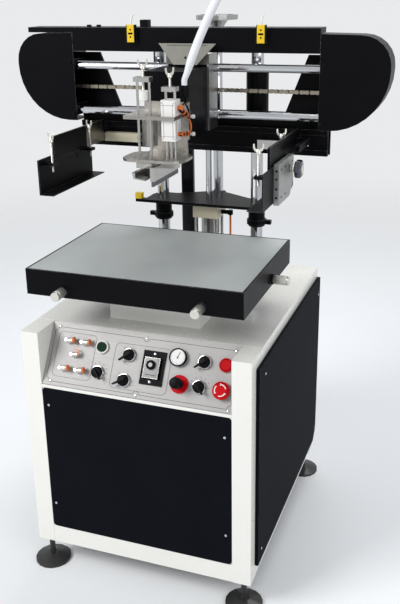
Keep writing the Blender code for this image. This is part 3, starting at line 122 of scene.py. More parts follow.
def pathRings(points, radius, around):
    # circles square to a path: centre + radius (cos t side + sin t up), side and up from the tangent
    points = np.asarray(points, float)
    tangent = np.gradient(points, axis=0)
    tangent /= np.linalg.norm(tangent, axis=1, keepdims=True)
    reference = np.eye(3)[int(np.argmin(np.abs(tangent).max(0)))]
    side = np.cross(tangent, reference)
    side /= np.linalg.norm(side, axis=1, keepdims=True)
    up = np.cross(tangent, side)
    t = circleSteps(around)[:, None]
    radius = np.broadcast_to(np.asarray(radius, float), (len(points),))[:, None, None]
    return points[:, None] + radius * (np.cos(t) * side[:, None] + np.sin(t) * up[:, None])


def curveThrough(points, count):
    # a Catmull-Rom curve: each span blends its two ends and their neighbours by cubic weights
    points = np.asarray(points, float)
    padded = np.vstack([2 * points[0] - points[1], points, 2 * points[-1] - points[-2]])
    s = np.linspace(0, len(points) - 1, count)
    i = np.minimum(s.astype(int), len(points) - 2)
    t = (s - i)[:, None]
    a, b, c, d = padded[i], padded[i + 1], padded[i + 2], padded[i + 3]
    return 0.5 * (2 * b + (c - a) * t + (2 * a - 5 * b + 4 * c - d) * t**2 + (3 * b - a - 3 * c + d) * t**3)


def threadRows(low, high, step, radius, depth):
    # a screw's outline: every other row is cut in by the thread's depth
    levels = np.arange(low, high, step)
    return np.column_stack([radius - depth * (np.arange(len(levels)) % 2), levels])


def slabRings(outline, low, high, edge, axes=facingUp, origin=(0, 0, 0)):
    # an outline carried along its third axis, drawn in by the edge radius at both ends
    outline = np.asarray(outline, float)
    middle = (outline.max(0) + outline.min(0)) / 2
    half = (outline.max(0) - outline.min(0)) / 2
    shrink = 1 - edge / np.maximum(half, edge * 2)
    rings = []
    for level, factor in ((low, shrink), (low + edge, 1.0), (high - edge, 1.0), (high, shrink)):
        rings.append(np.column_stack([middle + (outline - middle) * factor, np.full(len(outline), level)]))
    return np.array(rings) @ np.array(axes, float) + np.asarray(origin, float)


def roundedOutline(u, v, radius, steps):
    # a rectangle with quarter circles at its corners
    near, far = (u[0] + radius, v[0] + radius), (u[1] - radius, v[1] - radius)
    centres = np.array([(far[0], near[1]), far, (near[0], far[1]), near])
    angles = np.radians(np.array([-90, 0, 90, 180])[:, None] + np.linspace(0, 90, steps + 1))
    return (centres[:, None] + radius * np.stack([np.cos(angles), np.sin(angles)], -1)).reshape(-1, 2)


class Batch:
    # several lofted shapes gathered into one mesh
    def __init__(self):
        self.points, self.faces = [], []

    def add(self, rings):
        rings = np.asarray(rings, float)
        self.faces += loftFaces(*rings.shape[:2], sum(map(len, self.points)))
        self.points.append(rings.reshape(-1, 3))
        return self

    def lathe(self, profile, centre, axis=(0, 0, 1), steps=24):
        return self.add(latheRings(profile, steps) @ aim(axis).T + np.asarray(centre, float))

    def pipe(self, points, radius, around=12):
        return self.add(pathRings(points, radius, around))

    def plate(self, half, corner, steps, span, edge, axes, origin):
        # a rounded rectangle of two half sizes, from one level to another
        outline = roundedOutline((-half[0], half[0]), (-half[1], half[1]), corner, steps)
        return self.add(slabRings(outline, *span, edge, axes, origin))

    def make(self, name, finish, body="stand", smooth=40, slotName=None):
        return putMesh(name, np.vstack(self.points), self.faces, makeFinish(finish), smooth, body)


def newGroup(name, outputs, **inputs):
    # a socket's kind follows its value: one number, three for a vector or four for a colour
    tree = bpy.data.node_groups.new(name, "ShaderNodeTree")
    kinds = {1: "NodeSocketFloat", 3: "NodeSocketVector", 4: "NodeSocketColor"}
    for label, value in inputs.items():
        tree.interface.new_socket(label, in_out="INPUT", socket_type=kinds[np.size(value)]).default_value = value
    for label, value in outputs.items():
        tree.interface.new_socket(label, in_out="OUTPUT", socket_type=kinds[np.size(value)])
    return tree, tree.nodes.new("NodeGroupInput").outputs, tree.nodes.new("NodeGroupOutput").inputs


def node(tree, kind, sources, **settings):
    # the outputs of a new node whose inputs are linked or set
    made = tree.nodes.new("ShaderNode" + kind)
    for key, value in settings.items():
        setattr(made, key, value)
    for key, source in sources.items():
        if isinstance(source, bpy.types.NodeSocket):
            tree.links.new(source, made.inputs[key])
        else:
            made.inputs[key].default_value = source
    return made.outputs


def useGroup(tree, group, **sources):
    return node(tree, "Group", sources, node_tree=group)


def calc(tree, operation, a, b=0.0, clamp=False):
    return node(tree, "Math", {0: a, 1: b}, operation=operation, use_clamp=clamp)[0]


def vectorMath(tree, operation, a, b, out=0):
    return node(tree, "VectorMath", {0: a, 1: b}, operation=operation)[out]


def mixColor(tree, factor, a, b):
    return node(tree, "Mix", {0: factor, 6: a, 7: b}, data_type="RGBA", clamp_factor=True)[2]


def mixFloat(tree, factor, a, b):
    return node(tree, "Mix", {0: factor, 2: a, 3: b})[0]


def noise(tree, where, scale, detail, roughness=0.5):
    sources = {"Vector": where, "Scale": scale, "Detail": detail, "Roughness": roughness}
    return node(tree, "TexNoise", sources)[0]


def remap(tree, value, low, high, toLow, toHigh, **settings):
    return node(tree, "MapRange", {0: value, 1: low, 2: high, 3: toLow, 4: toHigh}, **settings)[0]


nowhere = (0.0, 0.0, 0.0)


def makeEdgeWear():
    # edges are where the rounded normal leaves the true one; noise breaks the line up
    tree, start, end = newGroup("edgeWear", {"mask": 0.0}, vector=nowhere, radius=0.002, amount=1.0, breakupScale=60.0)
    rounded = node(tree, "Bevel", {"Radius": start["radius"]}, samples=4)[0]
    alike = vectorMath(tree, "DOT_PRODUCT", rounded, node(tree, "NewGeometry", {})["Normal"], "Value")
    broken = calc(tree, "SUBTRACT", noise(tree, start["vector"], start["breakupScale"], 4.0), 0.35)
    edge = calc(tree, "MULTIPLY", calc(tree, "SUBTRACT", 1.0, alike), broken)
    tree.links.new(calc(tree, "MULTIPLY", edge, start["amount"], clamp=True), end["mask"])
    return tree


def makeSurfaceGrain():
    # two sizes of noise, one for tone over the surface and one for its fine texture
    tree, start, end = newGroup(
        "surfaceGrain", {"broad": 0.0, "fine": 0.0},
        vector=nowhere, fineScale=900.0, broadScale=9.0, stretch=(1.0, 1.0, 1.0),
    )
    stretched = vectorMath(tree, "MULTIPLY", start["vector"], start["stretch"])
    tree.links.new(noise(tree, start["vector"], start["broadScale"], 5.0), end["broad"])
    tree.links.new(noise(tree, stretched, start["fineScale"], 3.0), end["fine"])
    return tree


def makeSettledDust():
    # dust lies where the surface faces up, thicker in broad patches
    tree, start, end = newGroup(
        "settledDust", {"color": (0.5, 0.5, 0.5, 1)},
        vector=nowhere, color=(0.5, 0.5, 0.5, 1), dustColor=(0.42, 0.4, 0.36, 1), amount=0.15,
    )
    parts = node(tree, "SeparateXYZ", {0: node(tree, "NewGeometry", {})["Normal"]})
    up = remap(tree, parts[2], 0.25, 1.0, 0.15, 1.0)
    patches = remap(tree, noise(tree, start["vector"], 14.0, 6.0, 0.65), 0.35, 0.75, 0.0, 1.0)
    mask = calc(tree, "MULTIPLY", calc(tree, "MULTIPLY", up, patches), start["amount"], clamp=True)
    tree.links.new(mixColor(tree, mask, start["color"], start["dustColor"]), end["color"])
    return tree


def makeBoxZone():
    # 1 inside a box, 0 outside: each axis is above its low and below its high
    tree, start, end = newGroup("boxZone", {"mask": 0.0}, vector=nowhere, low=nowhere, high=nowhere)
    past = vectorMath(tree, "SUBTRACT", start["vector"], start["low"])
    left = vectorMath(tree, "SUBTRACT", start["high"], start["vector"])
    parts = node(tree, "SeparateXYZ", {0: vectorMath(tree, "MINIMUM", past, left)})
    least = calc(tree, "MINIMUM", calc(tree, "MINIMUM", parts[0], parts[1]), parts[2])
    tree.links.new(calc(tree, "GREATER_THAN", least, 0.0), end["mask"])
    return tree


def makeDiscZone():
    # 1 within a radius of a centre line along Z and between two heights
    tree, start, end = newGroup("discZone", {"mask": 0.0}, vector=nowhere, centre=nowhere, radius=0.01, height=0.01)
    parts = node(tree, "SeparateXYZ", {0: vectorMath(tree, "SUBTRACT", start["vector"], start["centre"])})
    square = calc(tree, "ADD", *(calc(tree, "MULTIPLY", parts[i], parts[i]) for i in (0, 1)))
    near = calc(tree, "LESS_THAN", calc(tree, "SQRT", square), start["radius"])
    above = calc(tree, "GREATER_THAN", parts[2], 0.0)
    below = calc(tree, "LESS_THAN", parts[2], start["height"])
    tree.links.new(calc(tree, "MULTIPLY", calc(tree, "MULTIPLY", near, above), below), end["mask"])
    return tree


edgeWear = makeEdgeWear()
surfaceGrain = makeSurfaceGrain()
settledDust = makeSettledDust()
boxZone = makeBoxZone()
discZone = makeDiscZone()

surfaceLook = {
    "fineSpan": (0.3, 0.7),  # the fine noise that gives the lowest and the highest roughness
    "zoneBroad": 40.0,
    "wearGain": 4,
    "wearScale": 70.0,
    "bumpGain": 3,
    "bumpStrength": 0.6,
    "coatRoughness": 0.12,
}
finishDefaults = {
    "share": 0.5,  # how much of the second tone comes through
    "metallic": 0.0,
    "specular": 0.4,
    "coat": 0.0,
    "fine": 900,  # scale of the fine texture
    "stretch": (1.0, 1.0, 1.0),
    "bump": 0.00003,  # depth of the fine texture
    "edge": 0.0005,  # radius within which edges wear
    "wear": 1.0,
    "dust": 0.03,
}


def finish(color, tone, rough, edgeColor, **changes):
    # two tones, the lowest and highest roughness, the colour of worn edges and what differs from the defaults
    return {**finishDefaults, "color": color, "tone": tone, "rough": rough, "edgeColor": edgeColor, **changes}


finishes = {
    "whiteEnamel": finish(
        (0.86, 0.85, 0.80), (0.76, 0.74, 0.67), (0.22, 0.38), (0.60, 0.57, 0.50),
        share=0.35, coat=0.35, fine=420, bump=0.00006, edge=0.0025, wear=0.6, dust=0.05,
    ),
    "blackEnamel": finish(
        (0.0022, 0.0022, 0.0030), (0.0055, 0.0055, 0.0065), (0.28, 0.46), (0.22, 0.22, 0.22),
        specular=0.055, fine=700, bump=0.00010, edge=0.0012, wear=3.0, dust=0.012,
    ),
    "blackPanel": finish(
        (0.0030, 0.0038, 0.0065), (0.0060, 0.0072, 0.011), (0.55, 0.72), (0.16, 0.16, 0.17),
        specular=0.035, share=0.6, fine=1500, bump=0.00028, edge=0.001, wear=2.0, dust=0.01,
    ),
    "blackPlastic": finish(
        (0.0025, 0.0025, 0.0030), (0.006, 0.006, 0.007), (0.34, 0.5), (0.12, 0.12, 0.12),
        specular=0.07, share=0.4, fine=1800, bump=0.00006, edge=0.0006, wear=2.0, dust=0.008,
    ),
    "consoleSilver": finish(
        (0.40, 0.39, 0.38), (0.33, 0.32, 0.31), (0.36, 0.5), (0.75, 0.74, 0.72),
        specular=0.3, share=0.4, metallic=0.15, stretch=(0.05, 1, 1), edge=0.0008, dust=0.04,
    ),
    "bedSteel": finish(
        (0.50, 0.53, 0.52), (0.36, 0.385, 0.38), (0.36, 0.55), (0.7, 0.7, 0.68),
        specular=0.3, share=0.7, metallic=0.55, fine=620, bump=0.00010, edge=0.0008, wear=2.0, dust=0.05,
    ),
    "chrome": finish(
        (0.52, 0.53, 0.55), (0.42, 0.43, 0.45), (0.06, 0.16), (0.9, 0.9, 0.9),
        share=0.3, metallic=1.0, fine=700, stretch=(1, 1, 0.1), bump=0.00001, edge=0.0006, wear=0.3,
    ),
    "zinc": finish(
        (0.58, 0.57, 0.55), (0.30, 0.30, 0.29), (0.18, 0.32), (0.75, 0.75, 0.72),
        share=0.8, metallic=1.0, fine=800, bump=0.00004, edge=0.0006, dust=0.05,
    ),
    "brightZinc": finish(
        (0.70, 0.68, 0.63), (0.55, 0.53, 0.48), (0.22, 0.36), (0.9, 0.9, 0.88),
        metallic=0.8, fine=800, edge=0.0004, dust=0.02,
    ),
    "darkChrome": finish(
        (0.09, 0.09, 0.11), (0.05, 0.05, 0.07), (0.08, 0.18), (0.7, 0.7, 0.72),
        share=0.4, metallic=1.0, coat=0.3, fine=800, bump=0.00001, wear=0.6, dust=0.01,
    ),
    "copperPlastic": finish(
        (0.66, 0.20, 0.07), (0.50, 0.13, 0.045), (0.26, 0.38), (0.85, 0.5, 0.35),
        specular=0.3, coat=0.1, wear=0.8,
    ),
    "aluminium": finish(
        (0.40, 0.40, 0.39), (0.28, 0.28, 0.27), (0.26, 0.42), (0.85, 0.85, 0.84),
        metallic=1.0, stretch=(1, 0.1, 1), bump=0.00004, edge=0.0007, wear=1.2, dust=0.05,
    ),
    "castAluminium": finish(
        (0.50, 0.48, 0.45), (0.20, 0.19, 0.17), (0.22, 0.38), (0.82, 0.82, 0.80),
        share=0.9, metallic=1.0, fine=520, bump=0.00025, edge=0.0009, wear=1.6, dust=0.06,
    ),
    "beigeEnamel": finish(
        (0.62, 0.57, 0.42), (0.50, 0.45, 0.33), (0.32, 0.46), (0.4, 0.38, 0.33),
        coat=0.1, fine=500, bump=0.00008, edge=0.0008, dust=0.08,
    ),
    "chainSteel": finish(
        (0.34, 0.31, 0.25), (0.20, 0.18, 0.14), (0.26, 0.45), (0.6, 0.57, 0.5),
        share=0.7, metallic=0.9, fine=1200, bump=0.00004, edge=0.0003, wear=1.5,
    ),
    # the chain's inner plates and rollers: the same steel painted far darker, as painted shade between the outer plates
    "chainDark": finish(
        (0.05, 0.042, 0.03), (0.09, 0.08, 0.06), (0.3, 0.5), (0.3, 0.28, 0.22),
        share=0.6, metallic=0.8, fine=1200, bump=0.00004, edge=0.0003, dust=0.02,
    ),
    "galvanised": finish(
        (0.40, 0.41, 0.40), (0.27, 0.28, 0.27), (0.34, 0.55), (0.66, 0.66, 0.64),
        share=0.9, metallic=0.8, fine=240, bump=0.00006, edge=0.0006, wear=1.5, dust=0.08,
    ),
    "greyPlate": finish(
        (0.17, 0.165, 0.145), (0.11, 0.105, 0.092), (0.4, 0.55), (0.45, 0.44, 0.42),
        specular=0.3, share=0.6, metallic=0.3, bump=0.00005, wear=1.2, dust=0.04,
    ),
    "redPlastic": finish(
        (0.56, 0.0035, 0.008), (0.44, 0.003, 0.007), (0.3, 0.42), (0.75, 0.12, 0.10),
        specular=0.06, share=0.4, edge=0.0006, wear=0.5, dust=0.01,
    ),
    "greenPlastic": finish(
        (0.0012, 0.020, 0.008), (0.002, 0.032, 0.012), (0.3, 0.45), (0.1, 0.3, 0.16),
        specular=0.04, share=0.4, edge=0.0006, wear=0.5, dust=0.01,
    ),
    "whitePlastic": finish(
        (0.80, 0.79, 0.76), (0.70, 0.69, 0.65), (0.30, 0.42), (0.9, 0.9, 0.88),
        share=0.4, coat=0.05, wear=0.5, dust=0.04,
    ),
    "yellowPlastic": finish(
        (0.86, 0.58, 0.012), (0.74, 0.46, 0.01), (0.28, 0.4), (0.9, 0.75, 0.3),
        share=0.4, coat=0.1, wear=0.5,
    ),
    "orangePlastic": finish(
        (0.78, 0.16, 0.02), (0.62, 0.11, 0.015), (0.26, 0.38), (0.85, 0.4, 0.2),
        share=0.4, coat=0.1, wear=0.5,
    ),
    "rubberBlack": finish(
        (0.016, 0.016, 0.017), (0.035, 0.034, 0.033), (0.5, 0.68), (0.08, 0.08, 0.08),
        specular=0.25, fine=700, bump=0.00012, edge=0.001, dust=0.08,
    ),
    "sleeveWhite": finish(
        (0.86, 0.87, 0.89), (0.66, 0.67, 0.70), (0.34, 0.5), (0.9, 0.9, 0.9),
        fine=600, bump=0.00008, edge=0.0008, wear=0.3, dust=0.05,
    ),
    # the squeegee blade: its rubber, with the dark grey also standing for painted shade under the blade
    "squeegeeRubber": finish(
        (0.10, 0.095, 0.10), (0.06, 0.055, 0.055), (0.35, 0.5), (0.5, 0.25, 0.1),
        fine=600, bump=0.00004, wear=0.5,
    ),
    "inkLine": finish(
        (0.06, 0.055, 0.055), (0.10, 0.095, 0.09), (0.4, 0.55), (0.2, 0.2, 0.2),
        bump=0.00002, edge=0.0003, wear=0.5, dust=0.02,
    ),
}
madeFinishes = {}


def rgba(color):
    return (*color, 1.0)


def toneOf(tree, grain, spec):
    mask = calc(tree, "MULTIPLY", grain["broad"], spec["share"])
    return mixColor(tree, mask, rgba(spec["color"]), rgba(spec["tone"]))


def roughnessOf(tree, grain, spec):
    return remap(tree, grain["fine"], *surfaceLook["fineSpan"], *spec["rough"])


def makeFinish(name, asNew=None):
    # tone over the surface, wear on its edges and dust on top; kept for the next use unless it is made as new
    if name in madeFinishes and not asNew:
        return madeFinishes[name]
    spec, look = finishes[name], surfaceLook
    made = bpy.data.materials.new(asNew or name)
    made.use_nodes = True
    made.diffuse_color = rgba(spec["color"])
    tree = made.node_tree
    where = node(tree, "TexCoord", {})["Object"]
    grain = useGroup(tree, surfaceGrain, vector=where, fineScale=spec["fine"], stretch=spec["stretch"])
    wear = useGroup(
        tree, edgeWear, vector=where, radius=spec["edge"], amount=spec["wear"] * look["wearGain"],
        breakupScale=look["wearScale"],
    )
    worn = mixColor(tree, wear["mask"], toneOf(tree, grain, spec), rgba(spec["edgeColor"]))
    dusty = useGroup(tree, settledDust, vector=where, color=worn, amount=spec["dust"])
    heights = {"Height": grain["fine"], "Distance": spec["bump"] * look["bumpGain"], "Strength": look["bumpStrength"]}
    shader = tree.nodes["Principled BSDF"].inputs
    shader["Metallic"].default_value = spec["metallic"]
    shader["Coat Weight"].default_value = spec["coat"]
    shader["Coat Roughness"].default_value = look["coatRoughness"]
    shader["Specular IOR Level"].default_value = spec["specular"]
    tree.links.new(dusty["color"], shader["Base Color"])
    tree.links.new(roughnessOf(tree, grain, spec), shader["Roughness"])
    tree.links.new(node(tree, "Bump", heights)[0], shader["Normal"])
    if not asNew:
        madeFinishes[name] = made
    return made


camera = {
    "position": place(0.7180, -1.4990, 1.4010),
    "yaw": 20.23,  # degrees to the left of straight ahead
    "pitch": 19.22,  # degrees down
    "roll": -0.93,
    "picture": (400, 604),  # pixels
    "focal": 819.6,  # pixels
    "centre": (199.2, 268.5),  # where the view axis meets the picture
    "sensor": 36.0,
}


def makeCamera():
    yaw, pitch, roll = (math.radians(camera[k]) for k in ("yaw", "pitch", "roll"))
    ahead = Vector((-math.sin(yaw) * math.cos(pitch), math.cos(yaw) * math.cos(pitch), -math.sin(pitch)))
    level = Vector((math.cos(yaw), math.sin(yaw), 0))
    upright = level.cross(ahead)
    right = level * math.cos(roll) + upright * math.sin(roll)
    up = upright * math.cos(roll) - level * math.sin(roll)
    data = bpy.data.cameras.new("pressCamera")
    (width, height), (x, y) = camera["picture"], camera["centre"]
    data.sensor_fit = "VERTICAL"
    data.sensor_height = camera["sensor"]
    data.lens = camera["focal"] / height * camera["sensor"]
    data.shift_x = (width / 2 - x) / height
    data.shift_y = (y - height / 2) / height
    made = bpy.data.objects.new("pressCamera", data)
    scene.collection.objects.link(made)
    turn = Matrix((right, up, -ahead)).transposed().to_4x4()
    made.matrix_world = Matrix.Translation(camera["position"]) @ turn
    scene.camera = made


makeCamera()


hose = {
    "route": [
        (0.0450, 0.250, 1.1843), (0.0455, 0.250, 1.1950), (0.0520, 0.251, 1.2120), (0.0625, 0.253, 1.2420),
        (0.0740, 0.256, 1.2720), (0.0870, 0.259, 1.3020), (0.1020, 0.261, 1.3340), (0.1190, 0.262, 1.3660),
        (0.1360, 0.262, 1.3980), (0.1500, 0.262, 1.4270), (0.158, 0.262, 1.450),
    ],
    "radius": 0.0095,
    "endShare": 0.7,  # of the radius, at the fitting
    "endReach": 0.012,  # how far the narrow end goes, and then how long it widens
    "endTaper": 0.05,
    "ripplePitch": 0.0062,
    "rippleDepth": 0.00035,
    "steps": 260,
    "around": 28,
}


def smoothRoute(route, count):
    # a cubic through the route's points, whose slope at each is the mean slope round it
    places = np.array([place(*p) for p in route])
    lengths = np.concatenate([[0], np.cumsum(np.linalg.norm(np.diff(places, axis=0), axis=1))])
    slopes = np.gradient(places, lengths, axis=0)
    s = np.linspace(0, lengths[-1], count)
    i = np.clip(np.searchsorted(lengths, s, side="right") - 1, 0, len(places) - 2)
    span = (lengths[i + 1] - lengths[i])[:, None]
    t = (s - lengths[i])[:, None] / span
    start = (1 + 2 * t) * (1 - t) ** 2 * places[i] + t * (1 - t) ** 2 * span * slopes[i]
    return start + t * t * (3 - 2 * t) * places[i + 1] + t * t * (t - 1) * span * slopes[i + 1]


def makeHose():
    # circles along the route whose radius waves a little, as a spiral-cut sleeve does
    path = smoothRoute(hose["route"], hose["steps"])
    run = np.concatenate([[0], np.cumsum(np.linalg.norm(np.diff(path, axis=0), axis=1))])
    wave = 1 - np.abs(np.sin(np.pi * run / hose["ripplePitch"]))
    widen = np.clip((run - hose["endReach"]) / hose["endTaper"], 0, 1)
    share = hose["endShare"] + (1 - hose["endShare"]) * widen**2 * (3 - 2 * widen)
    sleeve = Batch().pipe(path, hose["radius"] * share - hose["rippleDepth"] * wave**3, hose["around"])
    made = sleeve.make("hoseSleeve", "sleeveWhite", "carriage", 60, "hose_white")
    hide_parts("air_hose")
    print("hose", round(float(run[-1]), 4), "m")


makeHose()


consoleSlope = (0.52428, 0.85154)  # how far the console goes back and up
consoleAngle = math.atan2(consoleSlope[1], consoleSlope[0])
consoleOrigin = place(0.0, 0.04025, 0.57975)
consoleAxes = np.array([(1, 0, 0), (0, *consoleSlope), (0, -consoleSlope[1], consoleSlope[0])])
switches = {  # x along the console and v up its slope
    "greenButton": (-0.097, 0.029),
    "redButton": (0.206, 0.028),
    "selectors": ((-0.026, 0.020), (-0.029, -0.039), (0.156, 0.028)),
    "dialKnobs": ((-0.097, -0.030), (0.152, -0.028)),
    "regulator": (0.105, -0.0285),
    "emergency": (0.206, -0.029),
    "gauge": (0.093, 0.030),
    "timer": (0.034, 0.004),
    "valves": ((-0.183, 0.033), (-0.143, 0.033), (-0.163, 0.002), (-0.186, -0.033), (-0.145, -0.033)),
}
sensorPlaces = (-0.150, 0.180)


def zoneMask(tree, where, kind, first, *rest):
    # a box by two corners, or on the console a box in x, v and height or a disc by centre, radius and height
    if kind == "box":
        return useGroup(tree, boxZone, vector=where, low=place(*first), high=place(*rest[0]))["mask"]
    turn = {"Vector": where, "Location": consoleOrigin, "Rotation": (consoleAngle, 0, 0)}
    local = node(tree, "Mapping", turn, vector_type="TEXTURE")[0]
    if kind == "consoleBox":
        return useGroup(tree, boxZone, vector=local, low=first, high=rest[0])["mask"]
    return useGroup(tree, discZone, vector=local, centre=first, radius=rest[0], height=rest[1])["mask"]


def makeZoned(name, baseName, zones):
    # the base finish, with the colour, gloss and metal of other finishes inside its zones
    made = makeFinish(baseName, name)
    tree = made.node_tree
    shader = tree.nodes["Principled BSDF"].inputs
    where = tree.nodes["Texture Coordinate"].outputs["Object"]
    color, rough = (shader[label].links[0].from_socket for label in ("Base Color", "Roughness"))
    metal, shine = finishes[baseName]["metallic"], finishes[baseName]["specular"]
    for other, *zone in zones:
        spec = finishes[other]
        mask = zoneMask(tree, where, *zone)
        broad = surfaceLook["zoneBroad"]
        grain = useGroup(tree, surfaceGrain, vector=where, fineScale=spec["fine"], broadScale=broad)
        color = mixColor(tree, mask, color, toneOf(tree, grain, spec))
        rough = mixFloat(tree, mask, rough, roughnessOf(tree, grain, spec))
        metal = mixFloat(tree, mask, metal, spec["metallic"])
        shine = mixFloat(tree, mask, shine, spec["specular"])
    labels = ("Base Color", "Roughness", "Metallic", "Specular IOR Level")
    for label, source in zip(labels, (color, rough, metal, shine)):
        tree.links.new(source, shader[label])
    return made


plainPaint = {
    "blackPanel": "front_panel left_side_panel right_side_panel rear_panel",
    "blackEnamel": "bed_tray head_back_plate lower_beam left_end_cover right_end_cover drive_motor lift_plate",
    "chrome": "left_guide_column right_guide_column height_screw upper_guide_rod lower_guide_rod piston_rod"
    " left_arm_knob right_arm_knob",
    "aluminium": "handwheel",
    "zinc": "lower_stage upper_stage left_front_adjuster right_front_adjuster side_adjuster left_front_wing_screw"
    " left_rear_wing_screw right_front_wing_screw right_rear_wing_screw squeegee_stop_screw flood_bar",
    "bedSteel": "bed_plate",
    "chainSteel": "left_sprocket right_sprocket drive_chain",
    "blackPlastic": "hose_hanger left_selector middle_selector right_selector left_dial_knob right_dial_knob"
    " regulator_knob",
    "redPlastic": "emergency_stop red_button",
    "greenPlastic": "green_button",
}
zonedPaint = {
    # node: material, base finish, and the finish and the two corners of each box
    "cabinet_frame": ("cabinetPaint", "whiteEnamel", (
        ("rubberBlack", (-0.4, -0.1, -0.01), (0.4, 0.8, 0.0712)),
        ("blackEnamel", (-0.1185, 0.6345, 0.6445), (-0.0815, 0.6475, 1.11)),
    )),
    "top_beam": ("topBeamPaint", "blackEnamel", [
        ("yellowPlastic", (x - 0.009, 0.39, 1.264), (x + 0.009, 0.4098, 1.31)) for x in sensorPlaces
    ]),
    "lift_cylinder": ("liftPaint", "beigeEnamel", (
        ("zinc", (-0.034, 0.503, 0.6005), (0.034, 0.571, 0.8028)),
        ("aluminium", (-0.023, 0.514, 0.6005), (0.023, 0.560, 0.8028)),
        ("orangePlastic", (0.036, 0.50, 0.55), (0.07, 0.57, 0.806)),
        ("blackPlastic", (0.0352, 0.50, 0.806), (0.07, 0.57, 0.83)),
    )),
    "carriage_block": ("carriagePaint", "aluminium", (
        ("blackEnamel", (-0.0497, 0.389, 1.05), (0.0497, 0.452, 1.2165)),
        ("greyPlate", (-0.08, 0.36, 1.2167), (0.08, 0.392, 1.28)),
    )),
    "print_unit_frame": ("unitPaint", "castAluminium", (
        ("blackEnamel", (-0.065, 0.2685, 1.05), (0.055, 0.39, 1.22)),
        ("blackEnamel", (-0.065, 0.2610, 1.1450), (0.055, 0.39, 1.22)),
        ("blackPlastic", (0.03, 0.235, 1.1599), (0.056, 0.2605, 1.19)),
    )),
    "flood_stop_screw": ("stopScrewPaint", "zinc", (("whitePlastic", (-0.05, 0.15, 1.1565), (0.0, 0.22, 1.1785)),)),
    # the blade along the holder's bottom is painted dark: its rubber, and painted shade under the blade
    "squeegee_holder": ("squeegeePaint", "zinc", (("squeegeeRubber", (0.0, 0.10, 0.97), (0.03, 0.29, 0.9898)),)),
    "flood_cylinder": ("floodCylinderPaint", "castAluminium", (
        ("blackPlastic", (-0.09, 0.19, 1.04), (-0.0447, 0.24, 1.12)),
    )),
    "squeegee_cylinder": ("squeegeeCylinderPaint", "whitePlastic", (
        ("orangePlastic", (0.0512, 0.17, 1.06), (0.09, 0.21, 1.17)),
    )),
}
consoleZones = {
    "level": 0.0002,  # just above the plate, which keeps its own finish
    "bezel": (0.0162, 0.006),  # radius and height
    "valve": (0.0115, 0.03),
    "darkValve": 2,
    # finish, switch, radius and height
    "discs": (
        ("redPlastic", "redButton", 0.0162, 0.006), ("whitePlastic", "greenButton", 0.0162, 0.006),
        ("redPlastic", "regulator", 0.0225, 0.02), ("blackPlastic", "emergency", 0.0162, 0.01),
        ("blackPlastic", "gauge", 0.0215, 0.02),
    ),
    "boxes": (
        ("blackPlastic", "consoleBox", (0.0080, -0.0415, 0.0002), (0.0640, 0.0375, 0.0300)),
        ("zinc", "consoleBox", (0.0160, -0.0265, 0.0095), (0.0540, 0.0215, 0.0105)),
    ),
}
armZones = {
    # x from and to, then depth and height of the two corners, on the right; the left has the same with x negated
    "bar": ((0.1585, 0.2586), (0.44, 1.009), (0.47, 1.0325)),
    "plate": ((0.2686, 0.2805), (0.199, 0.934), (0.331, 1.0265)),
    "link": ((0.2585, 0.2655), (0.345, 1.009), (0.442, 1.067)),
}


def armZone(finishName, key, sign):
    across, low, high = armZones[key]
    near, far = sorted(sign * x for x in across)
    return (finishName, "box", (near, *low), (far, *high))


def paint(material, *names):
    for name in names:
        mesh = cadNodes[name].data
        for i in range(len(mesh.materials)):
            mesh.materials[i] = material
        if not mesh.materials:
            mesh.materials.append(material)


def paintNodes():
    for name, nodes in plainPaint.items():
        paint(makeFinish(name), *nodes.split())
    for name, (material, base, boxes) in zonedPaint.items():
        paint(makeZoned(material, base, [(other, "box", low, high) for other, low, high in boxes]), name)
    look = consoleZones
    level = look["level"]
    knobs = (*switches["selectors"], *switches["dialKnobs"])
    console = [("zinc", "disc", (*spot, level), *look["bezel"]) for spot in knobs]
    console += [(other, "disc", (*switches[key], level), *size) for other, key, *size in look["discs"]]
    console += look["boxes"]
    for i, spot in enumerate(switches["valves"]):
        other = "blackPlastic" if i == look["darkValve"] else "zinc"
        console.append((other, "disc", (*spot, level), *look["valve"]))
    paint(makeZoned("consolePaint", "consoleSilver", console), "control_panel")
    for side, sign, bar in (("left", -1, "beigeEnamel"), ("right", 1, "zinc")):
        plate = armZone("galvanised", "plate", sign)
        zones = [armZone(bar, "bar", sign), plate]
        if side == "left":
            zones.append(armZone("castAluminium", "link", sign))
        paint(makeZoned(side + "ArmPaint", "blackEnamel", zones), side + "_frame_arm")
        paint(makeZoned(side + "ChannelPaint", "blackEnamel", [plate]), side + "_frame_channel")


paintNodes()
print("CAD nodes painted")


studio = {
    "floorColor": (0.88, 0.89, 0.90),
    "floorShade": 0.96,
    "floorReach": 6,
    "floorFade": (1.0, 4.6),  # from whole to clear, by the distance from the middle
    "floorNoise": (3.0, 4.0),  # scale and detail
    "floorRoughness": 0.8,
    "floorSpecular": 0.1,
    "worldColor": (0.80, 0.84, 0.90),
    "worldStrength": 0.5,
    "backdropColor": (0.86, 0.87, 0.88),
    "backdropStrength": 0.95,
    # lamp: place, what it faces, size and power
    "keyLamp": ((-2.2, -2.6, 3.0), (0, 0, 0.8), 1.8, 116.0),
    "fillLamp": ((2.8, -1.6, 1.6), (0, 0, 0.7), 2.0, 30.0),
    "topLamp": ((0.3, 1.6, 3.4), (0, 0, 0.9), 2.0, 60.0),
}


